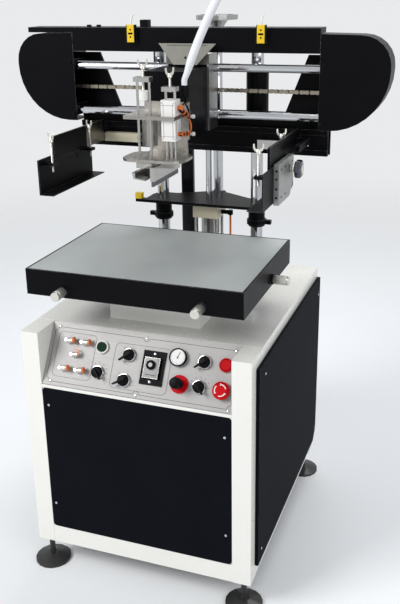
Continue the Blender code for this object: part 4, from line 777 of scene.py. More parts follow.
def makeFloor():
    reach = studio["floorReach"]
    line = np.arange(-reach, reach + 1)
    gx, gy = np.meshgrid(line, line, indexing="ij")
    i, j = np.meshgrid(np.arange(2 * reach), np.arange(2 * reach), indexing="ij")
    count = len(line)
    corner = i * count + j
    quads = np.stack([corner, corner + count, corner + count + 1, corner + 1], -1).reshape(-1, 4)
    mesh = bpy.data.meshes.new("floor")
    mesh.from_pydata(np.column_stack([gx.ravel(), gy.ravel(), 0 * gx.ravel()]).tolist(), [], quads.tolist())
    floor = bpy.data.objects.new("floor", mesh)
    scene.collection.objects.link(floor)
    material = bpy.data.materials.new("floorPaint")
    material.use_nodes = True
    tree = material.node_tree
    shader = tree.nodes["Principled BSDF"].inputs
    where = node(tree, "TexCoord", {})["Object"]
    shade = rgba([c * studio["floorShade"] for c in studio["floorColor"]])
    tone = mixColor(tree, noise(tree, where, *studio["floorNoise"]), rgba(studio["floorColor"]), shade)
    away = node(tree, "VectorMath", {0: where}, operation="LENGTH")["Value"]
    fade = remap(tree, away, *studio["floorFade"], 1.0, 0.0, interpolation_type="SMOOTHSTEP")
    tree.links.new(tone, shader["Base Color"])
    tree.links.new(fade, shader["Alpha"])
    shader["Roughness"].default_value = studio["floorRoughness"]
    shader["Specular IOR Level"].default_value = studio["floorSpecular"]
    mesh.materials.append(material)


def makeStudio():
    # the lit world is one colour, and what the camera and mirrors see of it is a paler one
    makeFloor()
    world = bpy.data.worlds.new("studio")
    scene.world = world
    world.use_nodes = True
    tree = world.node_tree
    tree.nodes.clear()
    ray = node(tree, "LightPath", {})
    seen = calc(tree, "MAXIMUM", ray["Is Camera Ray"], ray["Is Glossy Ray"])
    seen = calc(tree, "MAXIMUM", seen, ray["Is Transmission Ray"])
    soft, pale = (
        node(tree, "Background", {"Color": rgba(studio[name + "Color"]), "Strength": studio[name + "Strength"]})[0]
        for name in ("world", "backdrop")
    )
    node(tree, "OutputWorld", {"Surface": node(tree, "MixShader", {0: seen, 1: soft, 2: pale})[0]})
    for name in ("keyLamp", "fillLamp", "topLamp"):
        at, target, size, power = studio[name]
        data = bpy.data.lights.new(name, "AREA")
        data.shape = "SQUARE"
        data.size = size
        data.energy = power
        lamp = bpy.data.objects.new(name, data)
        scene.collection.objects.link(lamp)
        lamp.location = at
        lamp.rotation_euler = (Vector(target) - Vector(at)).to_track_quat("-Z", "Y").to_euler()
    scene.view_settings.view_transform = "Standard"


makeStudio()


def onConsole(points, x=0.0, v=0.0):
    # from a switch's own directions, along, up and out of the console, to the machine's
    return (np.asarray(points, float) + (x, v, 0)) @ consoleAxes + consoleOrigin


def ribbon(batch, line, width, low, high):
    # a flat strip along a line on the console: each point moved half the width to either side
    line = np.asarray(line, float)
    along = np.gradient(line, axis=0)
    along /= np.linalg.norm(along, axis=1, keepdims=True)
    aside = np.column_stack([-along[:, 1], along[:, 0]]) * width / 2
    corners = ((-1, low), (-1, high), (1, high), (1, low))
    rings = [np.column_stack([line + side * aside, np.full(len(line), level)]) for side, level in corners]
    return batch.add(onConsole(np.stack(rings, 1)))


def directions(angles):
    angles = np.radians(angles)
    return np.stack([np.cos(angles), np.sin(angles)], -1)


def arcLine(centre, radius, first, last, steps):
    return np.asarray(centre) + radius * directions(np.linspace(first, last, steps))


def ticks(batch, spot, angles, inner, outer, width, low, high):
    for way in directions(angles):
        ribbon(batch, [spot + way * inner, spot + way * outer], width, low, high)


def onRing(batch, profile, x, v, steps, turn=0.0):
    # a profile turned about the console's outward direction at one switch
    rings = latheRings(profile, steps) @ np.array(Matrix.Rotation(turn, 3, "Z")).T
    return batch.add(onConsole(rings, x, v))


def panHead(radius, height, low=0.0):
    # the quarter ellipse of a pan head, closed flat at the base
    t = np.linspace(0, np.pi / 2, 6)[:-1]
    top = np.column_stack([radius * np.cos(t), low + 0.3 * height + 0.7 * height * np.sin(t)])
    return capped((radius, low), *top, top=low + height)


def socketHead(radius, height, bevel=0.0005):
    # a cap screw: a straight side, a small bevel and a sunken socket
    return capped(
        (radius, 0), (radius, height - bevel), (radius - bevel, height), (radius * 0.52, height),
        (radius * 0.5, height * 0.45),
    )


consoleLook = {
    "lines": (0.0001, 0.0003),  # from and to, above the plate
    "border": (-0.2255, 0.2300, -0.0665, 0.0630),
    "borderWidth": 0.0010,
    "notch": 0.0085,
    # the boxes round the valves and the selectors: x, v and corner
    "boxes": (((-0.2130, -0.1150), (-0.0530, 0.0530), 0.010), ((-0.0640, 0.0760), (-0.0590, 0.0450), 0.012)),
    "boxWidth": 0.0008,
    # ticks: angles, inner and outer reach, width
    "dialTicks": (np.linspace(-30, 210, 9), 0.0205, 0.0240, 0.0008),
    "selectorTicks": ((135, 225), 0.0200, 0.0240, 0.0010),
    "gaugeTicks": (np.linspace(-225, 45, 7), 0.0140, 0.0166, 0.0006),
    "gaugeFineTicks": (np.delete(np.linspace(-225, 45, 19), slice(None, None, 3)), 0.0152, 0.0166, 0.0006),
    "gaugeLines": (0.0086, 0.0088),
    "gaugeHand": ((70,), -0.004, 0.013, 0.0009, 0.0089, 0.0092),
    "timerTicks": (np.linspace(-210, 30, 11), 0.0122, 0.0142, 0.0007),
    "timerLines": (0.0105, 0.0107),
    "timerMark": (-0.011, 0.013, -0.0225, 0.0012),
    "midScrews": ((0.0085, 0.0625), (0.0050, -0.0690)),
    "cornerScrews": ((-0.2150, 0.0640), (-0.2140, -0.0655), (0.2240, 0.0620), (0.2260, -0.0700)),
    "timerScrews": ((0.0362, 0.0302), (0.0338, -0.0338)),
    # screw heads: radius, height and foot
    "screw": (0.0036, 0.0016, 0.0002),
    "timerScrew": (0.0034, 0.0014, 0.0031),
    "bezel": (
        (0.0128, 0.0040), (0.0156, 0.0040), (0.0158, 0.0046), (0.0150, 0.0056), (0.0138, 0.0058), (0.0128, 0.0052),
        (0.0128, 0.0040),
    ),
    "gaugeFace": ((0.0178, 0.0081), (0.0178, 0.0086)),
    "gaugeRim": (
        (0.0176, 0.0080), (0.0206, 0.0080), (0.0208, 0.0094), (0.0200, 0.0104), (0.0184, 0.0104), (0.0176, 0.0092),
        (0.0176, 0.0080),
    ),
    "gaugeHub": ((0.0016, 0.0088), (0.0014, 0.0098)),
    "gaugeHubTop": 0.0099,
    # the emergency stop's three arrows: where they start, radius, sweep, width, and the widths of the head
    "arrows": ((20, 140, 260), 0.0128, 70, 0.0022, (0.0046, 0.0022)),
    "arrowHead": 22,  # degrees, in steps of which two are drawn
    "arrowLevels": (0.0190, 0.0197),
    # the timer's knob: rows of share, height and ridged, radius, ridge, ridges, steps
    "timerKnob": ((0.001, 0.0104, 1), (1.0, 0.0104, 1), (1.0, 0.0150, 1), (0.92, 0.0156, 1), (0.001, 0.0156, 1)),
    "timerRidges": (0.0108, 0.0004, 18, 72),
    "timerCap": ((0.0052, 0.0156), (0.0046, 0.0166)),
    "timerCapTop": 0.0168,
    "timerFace": ((0.0172, 0.0528), (-0.0252, 0.0202), 0.0015, 3),
    "timerFaceLevels": (0.0100, 0.0105, 0.0002),
}


def makeConsoleDetails():
    look = consoleLook
    lines = Batch()
    left, right, low, high = look["border"]
    notch, width = look["notch"], look["borderWidth"]
    topMiddle, lowMiddle = ((x, v) for (x, _), v in zip(look["midScrews"], (high, low)))
    top = [
        [(left + notch, high)], arcLine(topMiddle, notch * 0.9, 180, 360, 14),
        arcLine((right, high), notch, 180, 270, 8),
    ]
    bottom = [
        arcLine((right, low), notch, 90, 180, 8), arcLine(lowMiddle, notch * 0.9, 0, 180, 14),
        arcLine((left, low), notch, 0, 90, 8),
    ]
    side = [arcLine((left, low), notch, 90, 90, 1), arcLine((left, high), notch, 270, 360, 8)]
    for parts in (top, bottom, side, [[(right, high - notch), (right, low + notch)]]):
        ribbon(lines, np.vstack(parts), width, *look["lines"])
    for *box, corner in look["boxes"]:
        outline = roundedOutline(*box, corner, 6)
        ribbon(lines, np.vstack([outline, outline[:1]]), look["boxWidth"], *look["lines"])
    for key in ("dial", "selector"):
        for spot in switches[{"dial": "dialKnobs", "selector": "selectors"}[key]]:
            ticks(lines, np.array(spot), *look[key + "Ticks"], *look["lines"])
    lines.make("consoleLines", "inkLine", smooth=30)

    metal, red, pale, dark, silver = Batch(), Batch(), Batch(), Batch(), Batch()
    for spot in (*look["midScrews"], *look["cornerScrews"]):
        onRing(metal, panHead(*look["screw"]), *spot, 16)
    for spot in look["timerScrews"]:
        onRing(metal, panHead(*look["timerScrew"]), *spot, 16)
    for spot in (*switches["selectors"], *switches["dialKnobs"]):
        onRing(metal, look["bezel"], *spot, 36)
    metal.make("consoleScrewsAndBezels", "chrome", slotName="chrome")
    onRing(red, look["bezel"], *switches["redButton"], 36).make("redBezel", "redPlastic")

    onRing(pale, look["bezel"], *switches["greenButton"], 36)
    onRing(pale, capped(*look["gaugeFace"]), *switches["gauge"], 40)
    starts, radius, sweep, width, headWidths = look["arrows"]
    for start in starts:
        end = start + sweep
        ribbon(pale, arcLine(switches["emergency"], radius, start, end, 12), width, *look["arrowLevels"])
        tip = arcLine(switches["emergency"], radius, end, end + look["arrowHead"], 6)[:3]
        for headWidth in headWidths:
            ribbon(pale, tip, headWidth, *look["arrowLevels"])
    pale.make("consolePaleParts", "whitePlastic")

    gauge, timer = np.array(switches["gauge"]), np.array(switches["timer"])
    onRing(dark, look["gaugeRim"], *gauge, 48)
    for key in ("gaugeTicks", "gaugeFineTicks"):
        ticks(dark, gauge, *look[key], *look["gaugeLines"])
    ticks(dark, gauge, *look["gaugeHand"])
    onRing(dark, capped(*look["gaugeHub"], top=look["gaugeHubTop"]), *gauge, 16)
    dark.add(onConsole(wavyRings(look["timerKnob"], *look["timerRidges"]), *timer))
    ticks(dark, timer, *look["timerTicks"], *look["timerLines"])
    near, far, v, width = look["timerMark"]
    ribbon(dark, [timer + (near, v), timer + (far, v)], width, *look["timerLines"])
    dark.make("consoleDarkParts", "blackPlastic", slotName="black_plastic")

    onRing(silver, capped(*look["timerCap"], top=look["timerCapTop"]), *timer, 24)
    silver.add(slabRings(roundedOutline(*look["timerFace"]), *look["timerFaceLevels"], consoleAxes, consoleOrigin))
    silver.make("timerFace", "consoleSilver", slotName="panel_silver")
    print("console dressed")


makeConsoleDetails()


valveLook = {
    "base": ((0.0078, 0), (0.0078, 0.0055), (0.0071, 0.0060)),
    "stem": ((0.0042, 0.006), (0.0042, 0.0165), (0.0036, 0.0172)),
    "stemOff": 0.003,
    "body": ((0.0056, -0.0030), (0.0056, 0.0125)),
    "collar": (
        (0.00684, 0), (0.0076, 0.001), (0.0076, 0.0042), (0.00608, 0.0056), (0.0032, 0.0060), (0.0028, 0.0045),
    ),
    "reach": 0.0125,  # of the body, where the collar starts
    "height": 0.0105,
    "baseTurn": 0.3,
    "turn": 0.12,
    # the middle valve has a bent tube for a collar: place, radius, angles, steps, width and levels
    "bent": 2,
    "bend": ((0.004, 0.002), 0.0105, -10, 110, 14),
    "bendTube": (0.0030, 0.0110, 0.0125),
}


def makeValves():
    # push-in flow valves: a hex base, a body lying on it and a ringed collar at its end
    look = valveLook
    steel, orange = Batch(), Batch()
    lie = np.array([(0, 0, 1), (0, 1, 0), (-1, 0, 0)], float).T
    turn = np.array(Matrix.Rotation(look["turn"], 3, "Z")).T
    body = (latheRings(capped(*look["body"]), 20) @ lie + (0, 0, look["height"])) @ turn
    collar = (latheRings(capped(*look["collar"]), 24) @ lie + (look["reach"], 0, look["height"])) @ turn
    for i, (x, v) in enumerate(switches["valves"]):
        onRing(steel, capped(*look["base"]), x, v, 6, look["baseTurn"])
        onRing(steel, capped(*look["stem"]), x - look["stemOff"], v, 20)
        steel.add(onConsole(body, x, v))
        if i == look["bent"]:
            offset, *arc = look["bend"]
            ribbon(orange, arcLine((x + offset[0], v + offset[1]), *arc), *look["bendTube"])
        else:
            orange.add(onConsole(collar, x, v))
    steel.make("valveBodies", "brightZinc")
    orange.make("valveCollars", "copperPlastic")


makeValves()


chain = {
    "pitch": 0.0127,
    "teeth": 30,
    "strand": 64,  # links between the sprockets' axes
    "reach": 0.4064,
    "height": 1.210,
    "depth": 0.459,
    "endRadius": 0.0053,
    "endSweep": 62,
    "waist": 0.0037,
    "inner": (0.0038, 0.0045),  # the plates' faces, from the chain's middle
    "outer": (0.0047, 0.0054),
    "stud": (0.0039, 0.0056),
    "pinRadius": 0.0018,
    "rollerRadius": 0.0042,
    "clear": 3,  # links without rollers at each end of a strand, where teeth pass between the plates
}


def chainLoop(s):
    # by pitches: the lower strand, half a turn round one sprocket, the upper strand and half a turn back
    pitch, teeth, strand, reach = (chain[key] for key in ("pitch", "teeth", "strand", "reach"))
    half = teeth / 2
    radius = pitch / (2 * math.sin(math.pi / teeth))
    s = s % (2 * (strand + half))
    first = ((s - strand) / teeth - 0.25) * 2 * np.pi
    second = ((s - 2 * strand - half) / teeth + 0.25) * 2 * np.pi
    parts = [s <= strand, s < strand + half, s <= 2 * strand + half]
    there = [s * pitch - reach, reach + radius * np.cos(first), reach - (s - strand - half) * pitch]
    x = np.select(parts, there, radius * np.cos(second) - reach)
    z = np.select(parts, [-radius + 0 * s, radius * np.sin(first), radius + 0 * s], radius * np.sin(second))
    return np.column_stack([x, z + chain["height"]])


def slab(batch, flat, low, high):
    # a flat shape in x and z, from one depth to another on either side of the chain's middle
    middle = place(0, chain["depth"], 0)[1]
    for near, far in ((low, high), (-high, -low)):
        batch.add([np.column_stack([flat[:, 0], np.full(len(flat), middle + y), flat[:, 1]]) for y in (near, far)])


def makeChain():
    # figure-of-eight plates, wide at two pins and waisted between, in pairs inside and outside by turns
    strand, clear = chain["strand"], chain["clear"]
    count = 2 * strand + chain["teeth"]
    pins = chainLoop(np.arange(count + 1.0))
    end = chain["endRadius"] * directions(np.linspace(-chain["endSweep"], chain["endSweep"], 5))
    end[:, 0] += chain["pitch"] / 2
    outline = np.vstack([end, [(0, chain["waist"])], -end, [(0, -chain["waist"])]])
    circle = directions(np.arange(0, 360, 45))
    # the inner plates and the rollers go in the dark batch: painted shade between the outer plates
    outer, inner = Batch(), Batch()
    for i in range(count):
        along = (pins[i + 1] - pins[i]) / np.linalg.norm(pins[i + 1] - pins[i])
        flat = (pins[i] + pins[i + 1]) / 2 + outline @ np.array([along, (-along[1], along[0])])
        slab(outer if i % 2 else inner, flat, *chain["outer" if i % 2 else "inner"])
        slab(outer, pins[i] + chain["pinRadius"] * circle[::2], *chain["stud"])
        upper = i - strand - chain["teeth"] // 2
        if any(clear <= run <= strand - clear for run in (i, upper)):
            roller = pins[i] + chain["rollerRadius"] * circle
            middle, half = place(0, chain["depth"], 0)[1], chain["stud"][0]
            levels = (middle - half, middle + half)
            inner.add([np.column_stack([roller[:, 0], np.full(len(roller), y), roller[:, 1]]) for y in levels])
    made = outer.make("rollerChain", "chainSteel", "head")
    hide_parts("drive_chain")
    inner.make("chainInnerLinks", "chainDark", "head")
    print("chain of", count, "links")


makeChain()


fixings = {
    # x and height, for the side panels depth and height, and for the tray x and depth
    "frontPanel": ((-0.2202, 0.4607), (0.2187, 0.4548), (-0.2222, 0.1876), (0.2200, 0.1981)),
    "rearPanel": ((-0.2200, 0.5700), (0.2200, 0.5700), (-0.2200, 0.1500), (0.2200, 0.1500)),
    "sidePanel": ((0.0798, 0.5846), (0.0601, 0.1368), (0.6300, 0.5700), (0.6430, 0.1422)),
    "tray": (
        (0.0653, 0.0120), (0.2234, 0.0120), (-0.0900, 0.0120), (-0.2400, 0.0120),
        (0.2595, 0.2487), (0.2595, 0.1699), (0.2595, 0.3735), (0.2595, 0.0600),
    ),
    "cover": ((0.3283, 1.2207), (0.3236, 1.0833), (-0.3299, 1.2156), (-0.3260, 1.0820)),
    "faces": {"rear": 0.6500, "side": 0.2887, "cover": 0.4102, "tray": 0.7960},
    "panelHead": (0.0032, 0.0014),
    "coverHead": (0.0042, 0.0030),
    "trayHead": ((0.0018, -0.0004), (0.0018, 0.00012), (0.0010, 0.00016), (0.0009, 0.00004)),
}


def makePanelScrews():
    bright, dark, top = Batch(), Batch(), Batch()
    faces, head = fixings["faces"], panHead(*fixings["panelHead"])
    for x, z in fixings["frontPanel"]:
        bright.lathe(head, place(x, 0.0, z), (0, -1, 0), 16)
    for x, z in fixings["rearPanel"]:
        bright.lathe(head, place(x, faces["rear"], z), (0, 1, 0), 16)
    for depth, z in fixings["sidePanel"]:
        for side in (-1, 1):
            bright.lathe(head, place(side * faces["side"], depth, z), (side, 0, 0), 16)
    for x, z in fixings["cover"]:
        dark.lathe(socketHead(*fixings["coverHead"]), place(x, faces["cover"], z), (0, -1, 0), 18)
    for x, depth in fixings["tray"]:
        top.lathe(capped(*fixings["trayHead"]), place(x, depth, faces["tray"]), steps=12)
    bright.make("panelScrews", "chrome", slotName="chrome")
    dark.make("coverScrews", "blackPlastic", "head", slotName="black_plastic")
    top.make("trayScrews", "inkLine", "bed")
    print("screws placed")


makePanelScrews()


wingScrews = {
    # body: x, depth, foot of the shaft, foot of the hub, turn of the wings
    "flood_stop": (-0.027, 0.185, 1.1780, 1.2260, 0.25),
    "squeegee_stop": (0.0345, 0.190, 1.1758, 1.2080, 1.0),
    "left_front_wing_body": (-0.248, 0.149, 0.990, 1.0600, -0.5),
    "left_rear_wing_body": (-0.248, 0.341, 0.990, 1.0600, -0.5),
    "right_front_wing_body": (0.248, 0.149, 0.990, 1.0600, 0.5),
    "right_rear_wing_body": (0.248, 0.341, 0.990, 1.0600, 0.5),
}
wingLook = {
    "thread": (0.00075, 0.0029, 0.00035),  # half the pitch, radius and depth
    "shaftTop": (0.0029, 0.001),
    "hub": ((0.0052, -0.0004), (0.0057, 0), (0.0053, 0.0035), (0.0040, 0.0075), (0.0034, 0.0086)),
    "hubTop": 0.0088,
    "wing": (
        (0.0020, 0.0030), (0.0075, 0.0042), (0.0106, 0.0090), (0.0120, 0.0150), (0.0116, 0.0192), (0.0100, 0.0206),
        (0.0086, 0.0190), (0.0084, 0.0145), (0.0066, 0.0102), (0.0020, 0.0086), (0.0020, 0.0030),
    ),
    "wingLevels": (-0.0013, 0.0013, 0.0005),
    "pad": ((0.0100, 1.1572), (0.0108, 1.1580), (0.0108, 1.1775), (0.0100, 1.1783)),
}


def makeWingScrews():
    look = wingLook
    wing = curveThrough(look["wing"], 40)[:-1]
    radius, rise = look["shaftTop"]
    for body, (x, depth, low, hub, turn) in wingScrews.items():
        batch = Batch()
        batch.lathe(capped(*threadRows(low, hub, *look["thread"]), (radius, hub + rise)), place(x, depth, 0), steps=14)
        batch.lathe(capped(*look["hub"], top=look["hubTop"]), place(x, depth, hub))
        for side in (-1, 1):
            across = side * np.array((math.cos(turn), math.sin(turn), 0))
            axes = (across, (0, 0, 1), np.cross(across, (0, 0, 1)))
            batch.add(slabRings(wing, *look["wingLevels"], axes, place(x, depth, hub)))
        name = body.replace("_body", "") + "_screw"
        made = batch.make(camelName(name), "brightZinc", body, 35, "zinc")
        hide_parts(name)
    x, depth, *_ = wingScrews["flood_stop"]
    pad = Batch().lathe(capped(*look["pad"]), place(x, depth, 0), steps=32)
    pad.make("floodStopPad", "whitePlastic", "flood_stop", 35)
    print("wing screws made")


makeWingScrews()


fittings = {
    "bodies": (((0.0585, 0.186, 1.1400), (0.0585, 0.243, 1.1150)), ((0.0585, 0.186, 1.0850), (0.0585, 0.243, 1.0769))),
    "darkTubes": (
        (
            (0.0480, 0.2500, 1.1640), (0.0515, 0.2470, 1.1560), (0.0580, 0.2300, 1.1500), (0.0585, 0.2050, 1.1480),
            (0.0585, 0.1900, 1.1430),
        ),
        ((0.0395, 0.2490, 1.1640), (0.0470, 0.2440, 1.1480), (0.0560, 0.2420, 1.1330), (0.0585, 0.2415, 1.1190)),
    ),
    "orangeTubes": (
        ((0.0585, 0.2380, 1.1120), (0.0640, 0.2360, 1.1000), (0.0640, 0.2360, 1.0880), (0.0590, 0.2380, 1.0790)),
    ),
    "tubeRadius": 0.0020,
    "rings": (0.28, 0.62),  # shares of a body's length
    "ring": ((0.0030, 0), (0.0056, 0), (0.0060, 0.0010), (0.0060, 0.0044), (0.0054, 0.0054), (0.0030, 0.0054)),
    "knob": ((0.0030, 0), (0.0030, 0.0040), (0.0042, 0.0046), (0.0044, 0.0056), (0.0044, 0.0104), (0.0038, 0.0112)),
    "knobTop": 0.0114,
    "knobBack": 0.005,
    "knobAside": 0.003,
    "collar": ((0.0050, 0), (0.0054, 0.0008), (0.0054, 0.0046), (0.0048, 0.0054)),
    "collarPlace": (0.0585, 0.1900, 1.1425),
}


def makeFittings():
    look = fittings
    dark, orange, white = Batch(), Batch(), Batch()
    for start, end in look["bodies"]:
        start, end = np.array(place(*start)), np.array(place(*end))
        length = float(np.linalg.norm(end - start))
        along = (end - start) / length
        body = capped((0.0042, 0), (0.0046, 0.001), (0.0046, length - 0.001), (0.0040, length))
        dark.lathe(body, start, along, 16)
        for share in look["rings"]:
            orange.lathe(look["ring"], start + along * length * share, along, 20)
        knob = end - along * look["knobBack"] + (look["knobAside"], 0, 0)
        white.lathe(capped(*look["knob"], top=look["knobTop"]), knob, (1, 0, 0), 18)
    for batch, key in ((dark, "darkTubes"), (orange, "orangeTubes")):
        for route in look[key]:
            batch.pipe(curveThrough([place(*p) for p in route], 24), look["tubeRadius"])
    orange.lathe(capped(*look["collar"]), place(*look["collarPlace"]), steps=20)
    dark.make("fittingBodies", "blackPlastic", "carriage", slotName="black_plastic")
    orange.make("fittingCollars", "orangePlastic", "carriage")
    white.make("fittingKnobs", "whitePlastic", "carriage")
    print("air fittings made")


makeFittings()


sensors = {
    "front": 0.3970,
    "screws": (1.2783, 1.29552),  # heights
    "screw": (0.0022, 0.0008),
    "mark": (0.0060, 0.0022),
    "markHeight": 1.2865,
    "lead": ((0, 0.4040, 1.3065), (0, 0.4040, 1.3140), (0.001, 0.4060, 1.3230), (0.0035, 0.4090, 1.3300)),
    "leadRadius": 0.0022,
    "arm": (-0.1815, 0.4820, 0.8585),
    "armHalf": (0.0095, 0.0080),
}


def makeSensors():
    look = sensors
    dark, yellow, pale = Batch(), Batch(), Batch()
    for x in sensorPlaces:
        for z in look["screws"]:
            dark.lathe(panHead(*look["screw"]), place(x, look["front"], z), (0, -1, 0), 14)
        spot = place(x, look["front"], look["markHeight"])
        dark.plate(look["mark"], 0.0008, 2, (0.0, 0.0005), 0.0001, facingFront, spot)
        lead = [place(x + aside, depth, z) for aside, depth, z in look["lead"]]
        pale.pipe(curveThrough(lead, 14), look["leadRadius"])
    half = look["armHalf"]
    yellow.plate(half, 0.0012, 3, (-half[1], half[1]), 0.0008, facingUp, place(*look["arm"]))
    dark.make("sensorScrews", "blackPlastic", "head")
    pale.make("sensorLeads", "whitePlastic", "head")
    yellow.make("armSensor", "yellowPlastic", "lift_stage")
    print("sensors made")


makeSensors()


knobLook = {
    "disc": (
        (0.01092, 0.0044), (0.01092, 0.0062), (0.0130, 0.0064), (0.0130, 0.0103), (0.01235, 0.0117), (0.01105, 0.0125),
    ),
    "discTop": 0.0131,
    # the bar: along it, and its share of the half width; the last place along is the reach
    "bar": ((-0.0085, 0.55), (-0.0070, 0.85), (0.0, 1.0), (0.009, 0.85), (0.0165, 0.62)),
    "barTip": 0.40,
    "barHalf": 0.0026,
    "barLevels": (0.0090, 0.0190, 0.0009),
    "selectorReach": 0.0250,
    "dialReach": 0.0205,
    # the regulator: rows of share, height and ridged, then radius, ridge, ridges and steps
    "regulator": (
        (0.001, 0.0156, 0), (0.96, 0.0156, 0), (1.0, 0.0164, 1), (1.0, 0.0340, 1), (0.92, 0.0362, 0), (0.80, 0.0370, 0),
        (0.001, 0.0374, 0),
    ),
    "regulatorRidges": (0.0128, 0.0003, 24, 72),
    "regulatorFoot": ((0.0106, 0.0045), (0.0106, 0.0160)),
}


def pointerAngle(name, spot):
    # the way a CAD knob points: its vertex farthest from the switch's axis
    shape = cadNodes[name]
    points = np.empty(3 * len(shape.data.vertices), np.float32)
    shape.data.vertices.foreach_get("co", points)
    pose = np.array(shape.matrix_world)
    flat = (points.reshape(-1, 3) @ pose[:3, :3].T + pose[:3, 3] - consoleOrigin) @ consoleAxes.T
    away = flat[:, :2] - spot
    far = away[np.argmax(np.hypot(away[:, 0], away[:, 1]))]
    return math.atan2(far[1], far[0])


def makeKnobs():
    # a domed disc with a bar across it that tapers to a pointer
    look = knobLook
    left, middle, right = switches["selectors"]
    spots = {"middle_selector": middle, "left_selector": left, "right_selector": right}
    spots.update(zip(("left_dial_knob", "right_dial_knob"), switches["dialKnobs"]))
    for name, spot in spots.items():
        batch = Batch()
        onRing(batch, capped(*look["disc"], top=look["discTop"]), *spot, 36)
        reach = look["dialReach" if "dial" in name else "selectorReach"]
        bar = np.array([*look["bar"], (reach, look["barTip"])])
        outline = np.vstack([bar * (1, -look["barHalf"]), bar[::-1] * (1, look["barHalf"])])
        angle = pointerAngle(name, spot)
        turn = np.array([(math.cos(angle), math.sin(angle)), (-math.sin(angle), math.cos(angle))])
        batch.add(slabRings(outline @ turn + spot, *look["barLevels"], consoleAxes, consoleOrigin))
        made = batch.make(camelName(name, "grip"), "blackPlastic", name + "_body", 35, "black_plastic")
        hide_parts(name)
    spot = switches["regulator"]
    grip = Batch().add(onConsole(wavyRings(look["regulator"], *look["regulatorRidges"]), *spot))
    onRing(grip, capped(*look["regulatorFoot"]), *spot, 30)
    made = grip.make("regulatorGrip", "blackPlastic", "regulator_knob_body", 35, "black_plastic")
    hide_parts("regulator_knob")
    print("console knobs made")


makeKnobs()


armLook = {
    "centre": (0, 0.300, 0.998),
    # the grip: rows of share, distance from the middle and ridged, then radius, lobe, lobes and steps
    "grip": (
        (0.001, 0.2908, 1), (0.55, 0.2908, 1), (0.86, 0.2925, 1), (1.0, 0.2955, 1), (1.0, 0.3040, 1), (0.90, 0.3075, 1),
        (0.62, 0.3090, 1), (0.001, 0.3092, 1),
    ),
    "lobes": (0.0205, 0.0013, 6, 60),
    "hub": ((0.0096, 0.2815), (0.0100, 0.2822), (0.0100, 0.2850), (0.0076, 0.2858), (0.0070, 0.2920)),
    "cap": ((0.0105, 0.3085), (0.0098, 0.3094)),
    "capTop": 0.3095,
    # the plates' holes: where they are, and thin black discs laid on the plates there, painted shade for the dark
    # inside of each hole
    "frontHoles": (0.2746, 0.1990, (1.0120, 0.9940, 0.9720, 0.9520)),
    "sideHoles": (0.2805, (0.222, 0.256, 0.318), (1.012, 0.950)),
    "frontHole": ((0.0024, 0), (0.0024, 0.0003)),
    "sideHole": ((0.0026, 0), (0.0026, 0.0003)),
    "pin": ((0.0018, 0), (0.0018, 0.0160), (0.0014, 0.0166)),
    "pinPlace": (0.2885, 0.4400, 1.0240),
}


def makeArmKnobs():
    look = armLook
    centre = place(*look["centre"])
    for side, word in ((-1, "left"), (1, "right")):
        way = (side, 0, 0)
        grip, hub, holeShades = Batch(), Batch(), Batch()
        grip.add(wavyRings(look["grip"], *look["lobes"]) @ aim(way).T + centre)
        hub.lathe(capped(*look["hub"]), centre, way, 28)
        hub.lathe(capped(*look["cap"], top=look["capTop"]), centre, way, 28)
        body = word + "_arm_knob_body"
        made = grip.make(word + "ArmGrip", "darkChrome", body, 35, "chrome")
        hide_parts(word + "_arm_knob")
        hub.make(word + "ArmHub", "brightZinc", body, 35, "zinc")
        # black discs on the arm's plates at its holes: painted shade, not openings
        x, depth, heights = look["frontHoles"]
        for z in heights:
            holeShades.lathe(capped(*look["frontHole"]), place(side * x, depth, z), (0, -1, 0), 16)
        x, depths, heights = look["sideHoles"]
        for depth in depths:
            for z in heights:
                holeShades.lathe(capped(*look["sideHole"]), place(side * x, depth, z), way, 16)
        holeShades.make(word + "ArmHoles", "blackPlastic", word + "_arm", 35)
    pin = Batch().lathe(capped(*look["pin"]), place(*look["pinPlace"]), steps=14)
    pin.make("armPin", "whitePlastic", "right_arm", 35)
    print("arm knobs made")


makeArmKnobs()


adjusters = {
    # body: node, place on the tray's wall and the way out
    "adjuster_left": ("left_front_adjuster", (-0.164, 0.012, 0.752), (0, -1, 0)),
    "adjuster_right": ("right_front_adjuster", (0.164, 0.012, 0.752), (0, -1, 0)),
    "adjuster_side": ("side_adjuster", (0.259, 0.228, 0.752), (1, 0, 0)),
}
adjusterLook = {
    # the knob: rows of share, distance from the wall and ridged, then radius, ridge, ridges and steps
    "knob": (
        (0.001, 0.0062, 0), (0.93, 0.0062, 0), (0.97, 0.0080, 0), (0.97, 0.0100, 0), (1.0, 0.0106, 1), (1.0, 0.0350, 1),
        (0.97, 0.0356, 0), (0.97, 0.0385, 0), (0.99, 0.0390, 0), (0.99, 0.0410, 0), (0.93, 0.042, 0), (0.001, 0.042, 0),
    ),
    "ridges": (0.0108, 0.0003, 36, 144),
    "thread": (-0.030, 0.0062, 0.0006, 0.0029, 0.0003),  # from, to, half the pitch, radius and depth
    "shoulder": (0.0028, 0.0067),
}


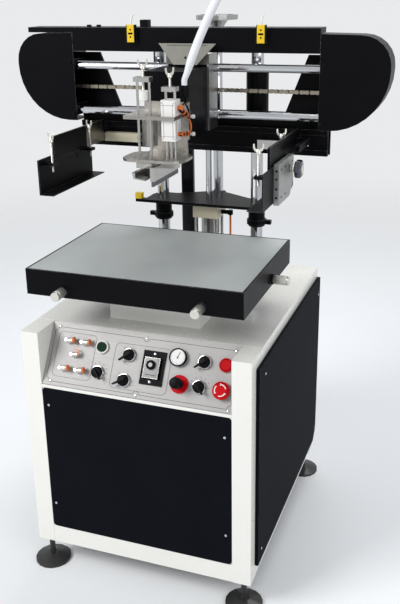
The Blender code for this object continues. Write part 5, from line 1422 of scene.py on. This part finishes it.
def makeAdjusters():
    look = adjusterLook
    for body, (name, wall, way) in adjusters.items():
        knob = Batch().add(wavyRings(look["knob"], *look["ridges"]) @ aim(way).T + place(*wall))
        knob.lathe(capped(*threadRows(*look["thread"]), look["shoulder"]), place(*wall), way, 12)
        made = knob.make(camelName(name, "knob"), "brightZinc", body, 35, "zinc")
        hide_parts(name)
    print("adjusters made")


makeAdjusters()


carriageBolts = {
    "side": ((0.404, 1.090), (0.404, 1.150), (0.404, 1.208), (0.440, 1.090), (0.440, 1.150)),
    "x": 0.0730,
    "head": (0.0032, 0.0022),
}


def makeBolts():
    bolts = Batch()
    for depth, z in carriageBolts["side"]:
        for side in (-1, 1):
            spot = place(side * carriageBolts["x"], depth, z)
            bolts.lathe(socketHead(*carriageBolts["head"]), spot, (side, 0, 0), 18)
    bolts.make("carriageBolts", "brightZinc", "carriage", 35, "zinc")
    print("bolts made")


makeBolts()


unitTrim = {
    "front": 0.1735,
    "side": 0.0510,
    "middle": 1.115,
    # half sizes and corners of the upright seams and the bands
    "seam": ((0.0006, 0.03827), 0.0005),
    "band": ((0.0160, 0.0005), 0.0003),
    "levels": (-0.0002, 0.0004),
    "edge": 0.0001,
    "frontSeams": (0.0235, 0.0455),
    "sideSeams": (0.1805, 0.1995),
    "bands": (0.0345, 1.081, 1.149),
    "screws": ((0.0205, 0.0485), (1.0755, 1.1545)),
    "screwHead": (0.0019, 0.0010),
}


def makeUnitTrim():
    # thin seams down the squeegee cylinder's front and side, bands at its ends and screws at its corners
    look = unitTrim
    front, side, middle = look["front"], look["side"], look["middle"]
    seams, screws = Batch(), Batch()
    x, *heights = look["bands"]
    flat = [("seam", facingFront, place(x, front, middle)) for x in look["frontSeams"]]
    flat += [("seam", facingRight, place(side, depth, middle)) for depth in look["sideSeams"]]
    flat += [("band", facingFront, place(x, front, z)) for z in heights]
    for key, axes, spot in flat:
        half, corner = look[key]
        seams.plate(half, corner, 2, look["levels"], look["edge"], axes, spot)
    for x in look["screws"][0]:
        for z in look["screws"][1]:
            screws.lathe(socketHead(*look["screwHead"]), place(x, front, z), (0, -1, 0), 14)
    seams.make("cylinderSeams", "zinc", "carriage", 35)
    screws.make("cylinderScrews", "brightZinc", "carriage", 35, "zinc")
    print("cylinder trimmed")


makeUnitTrim()
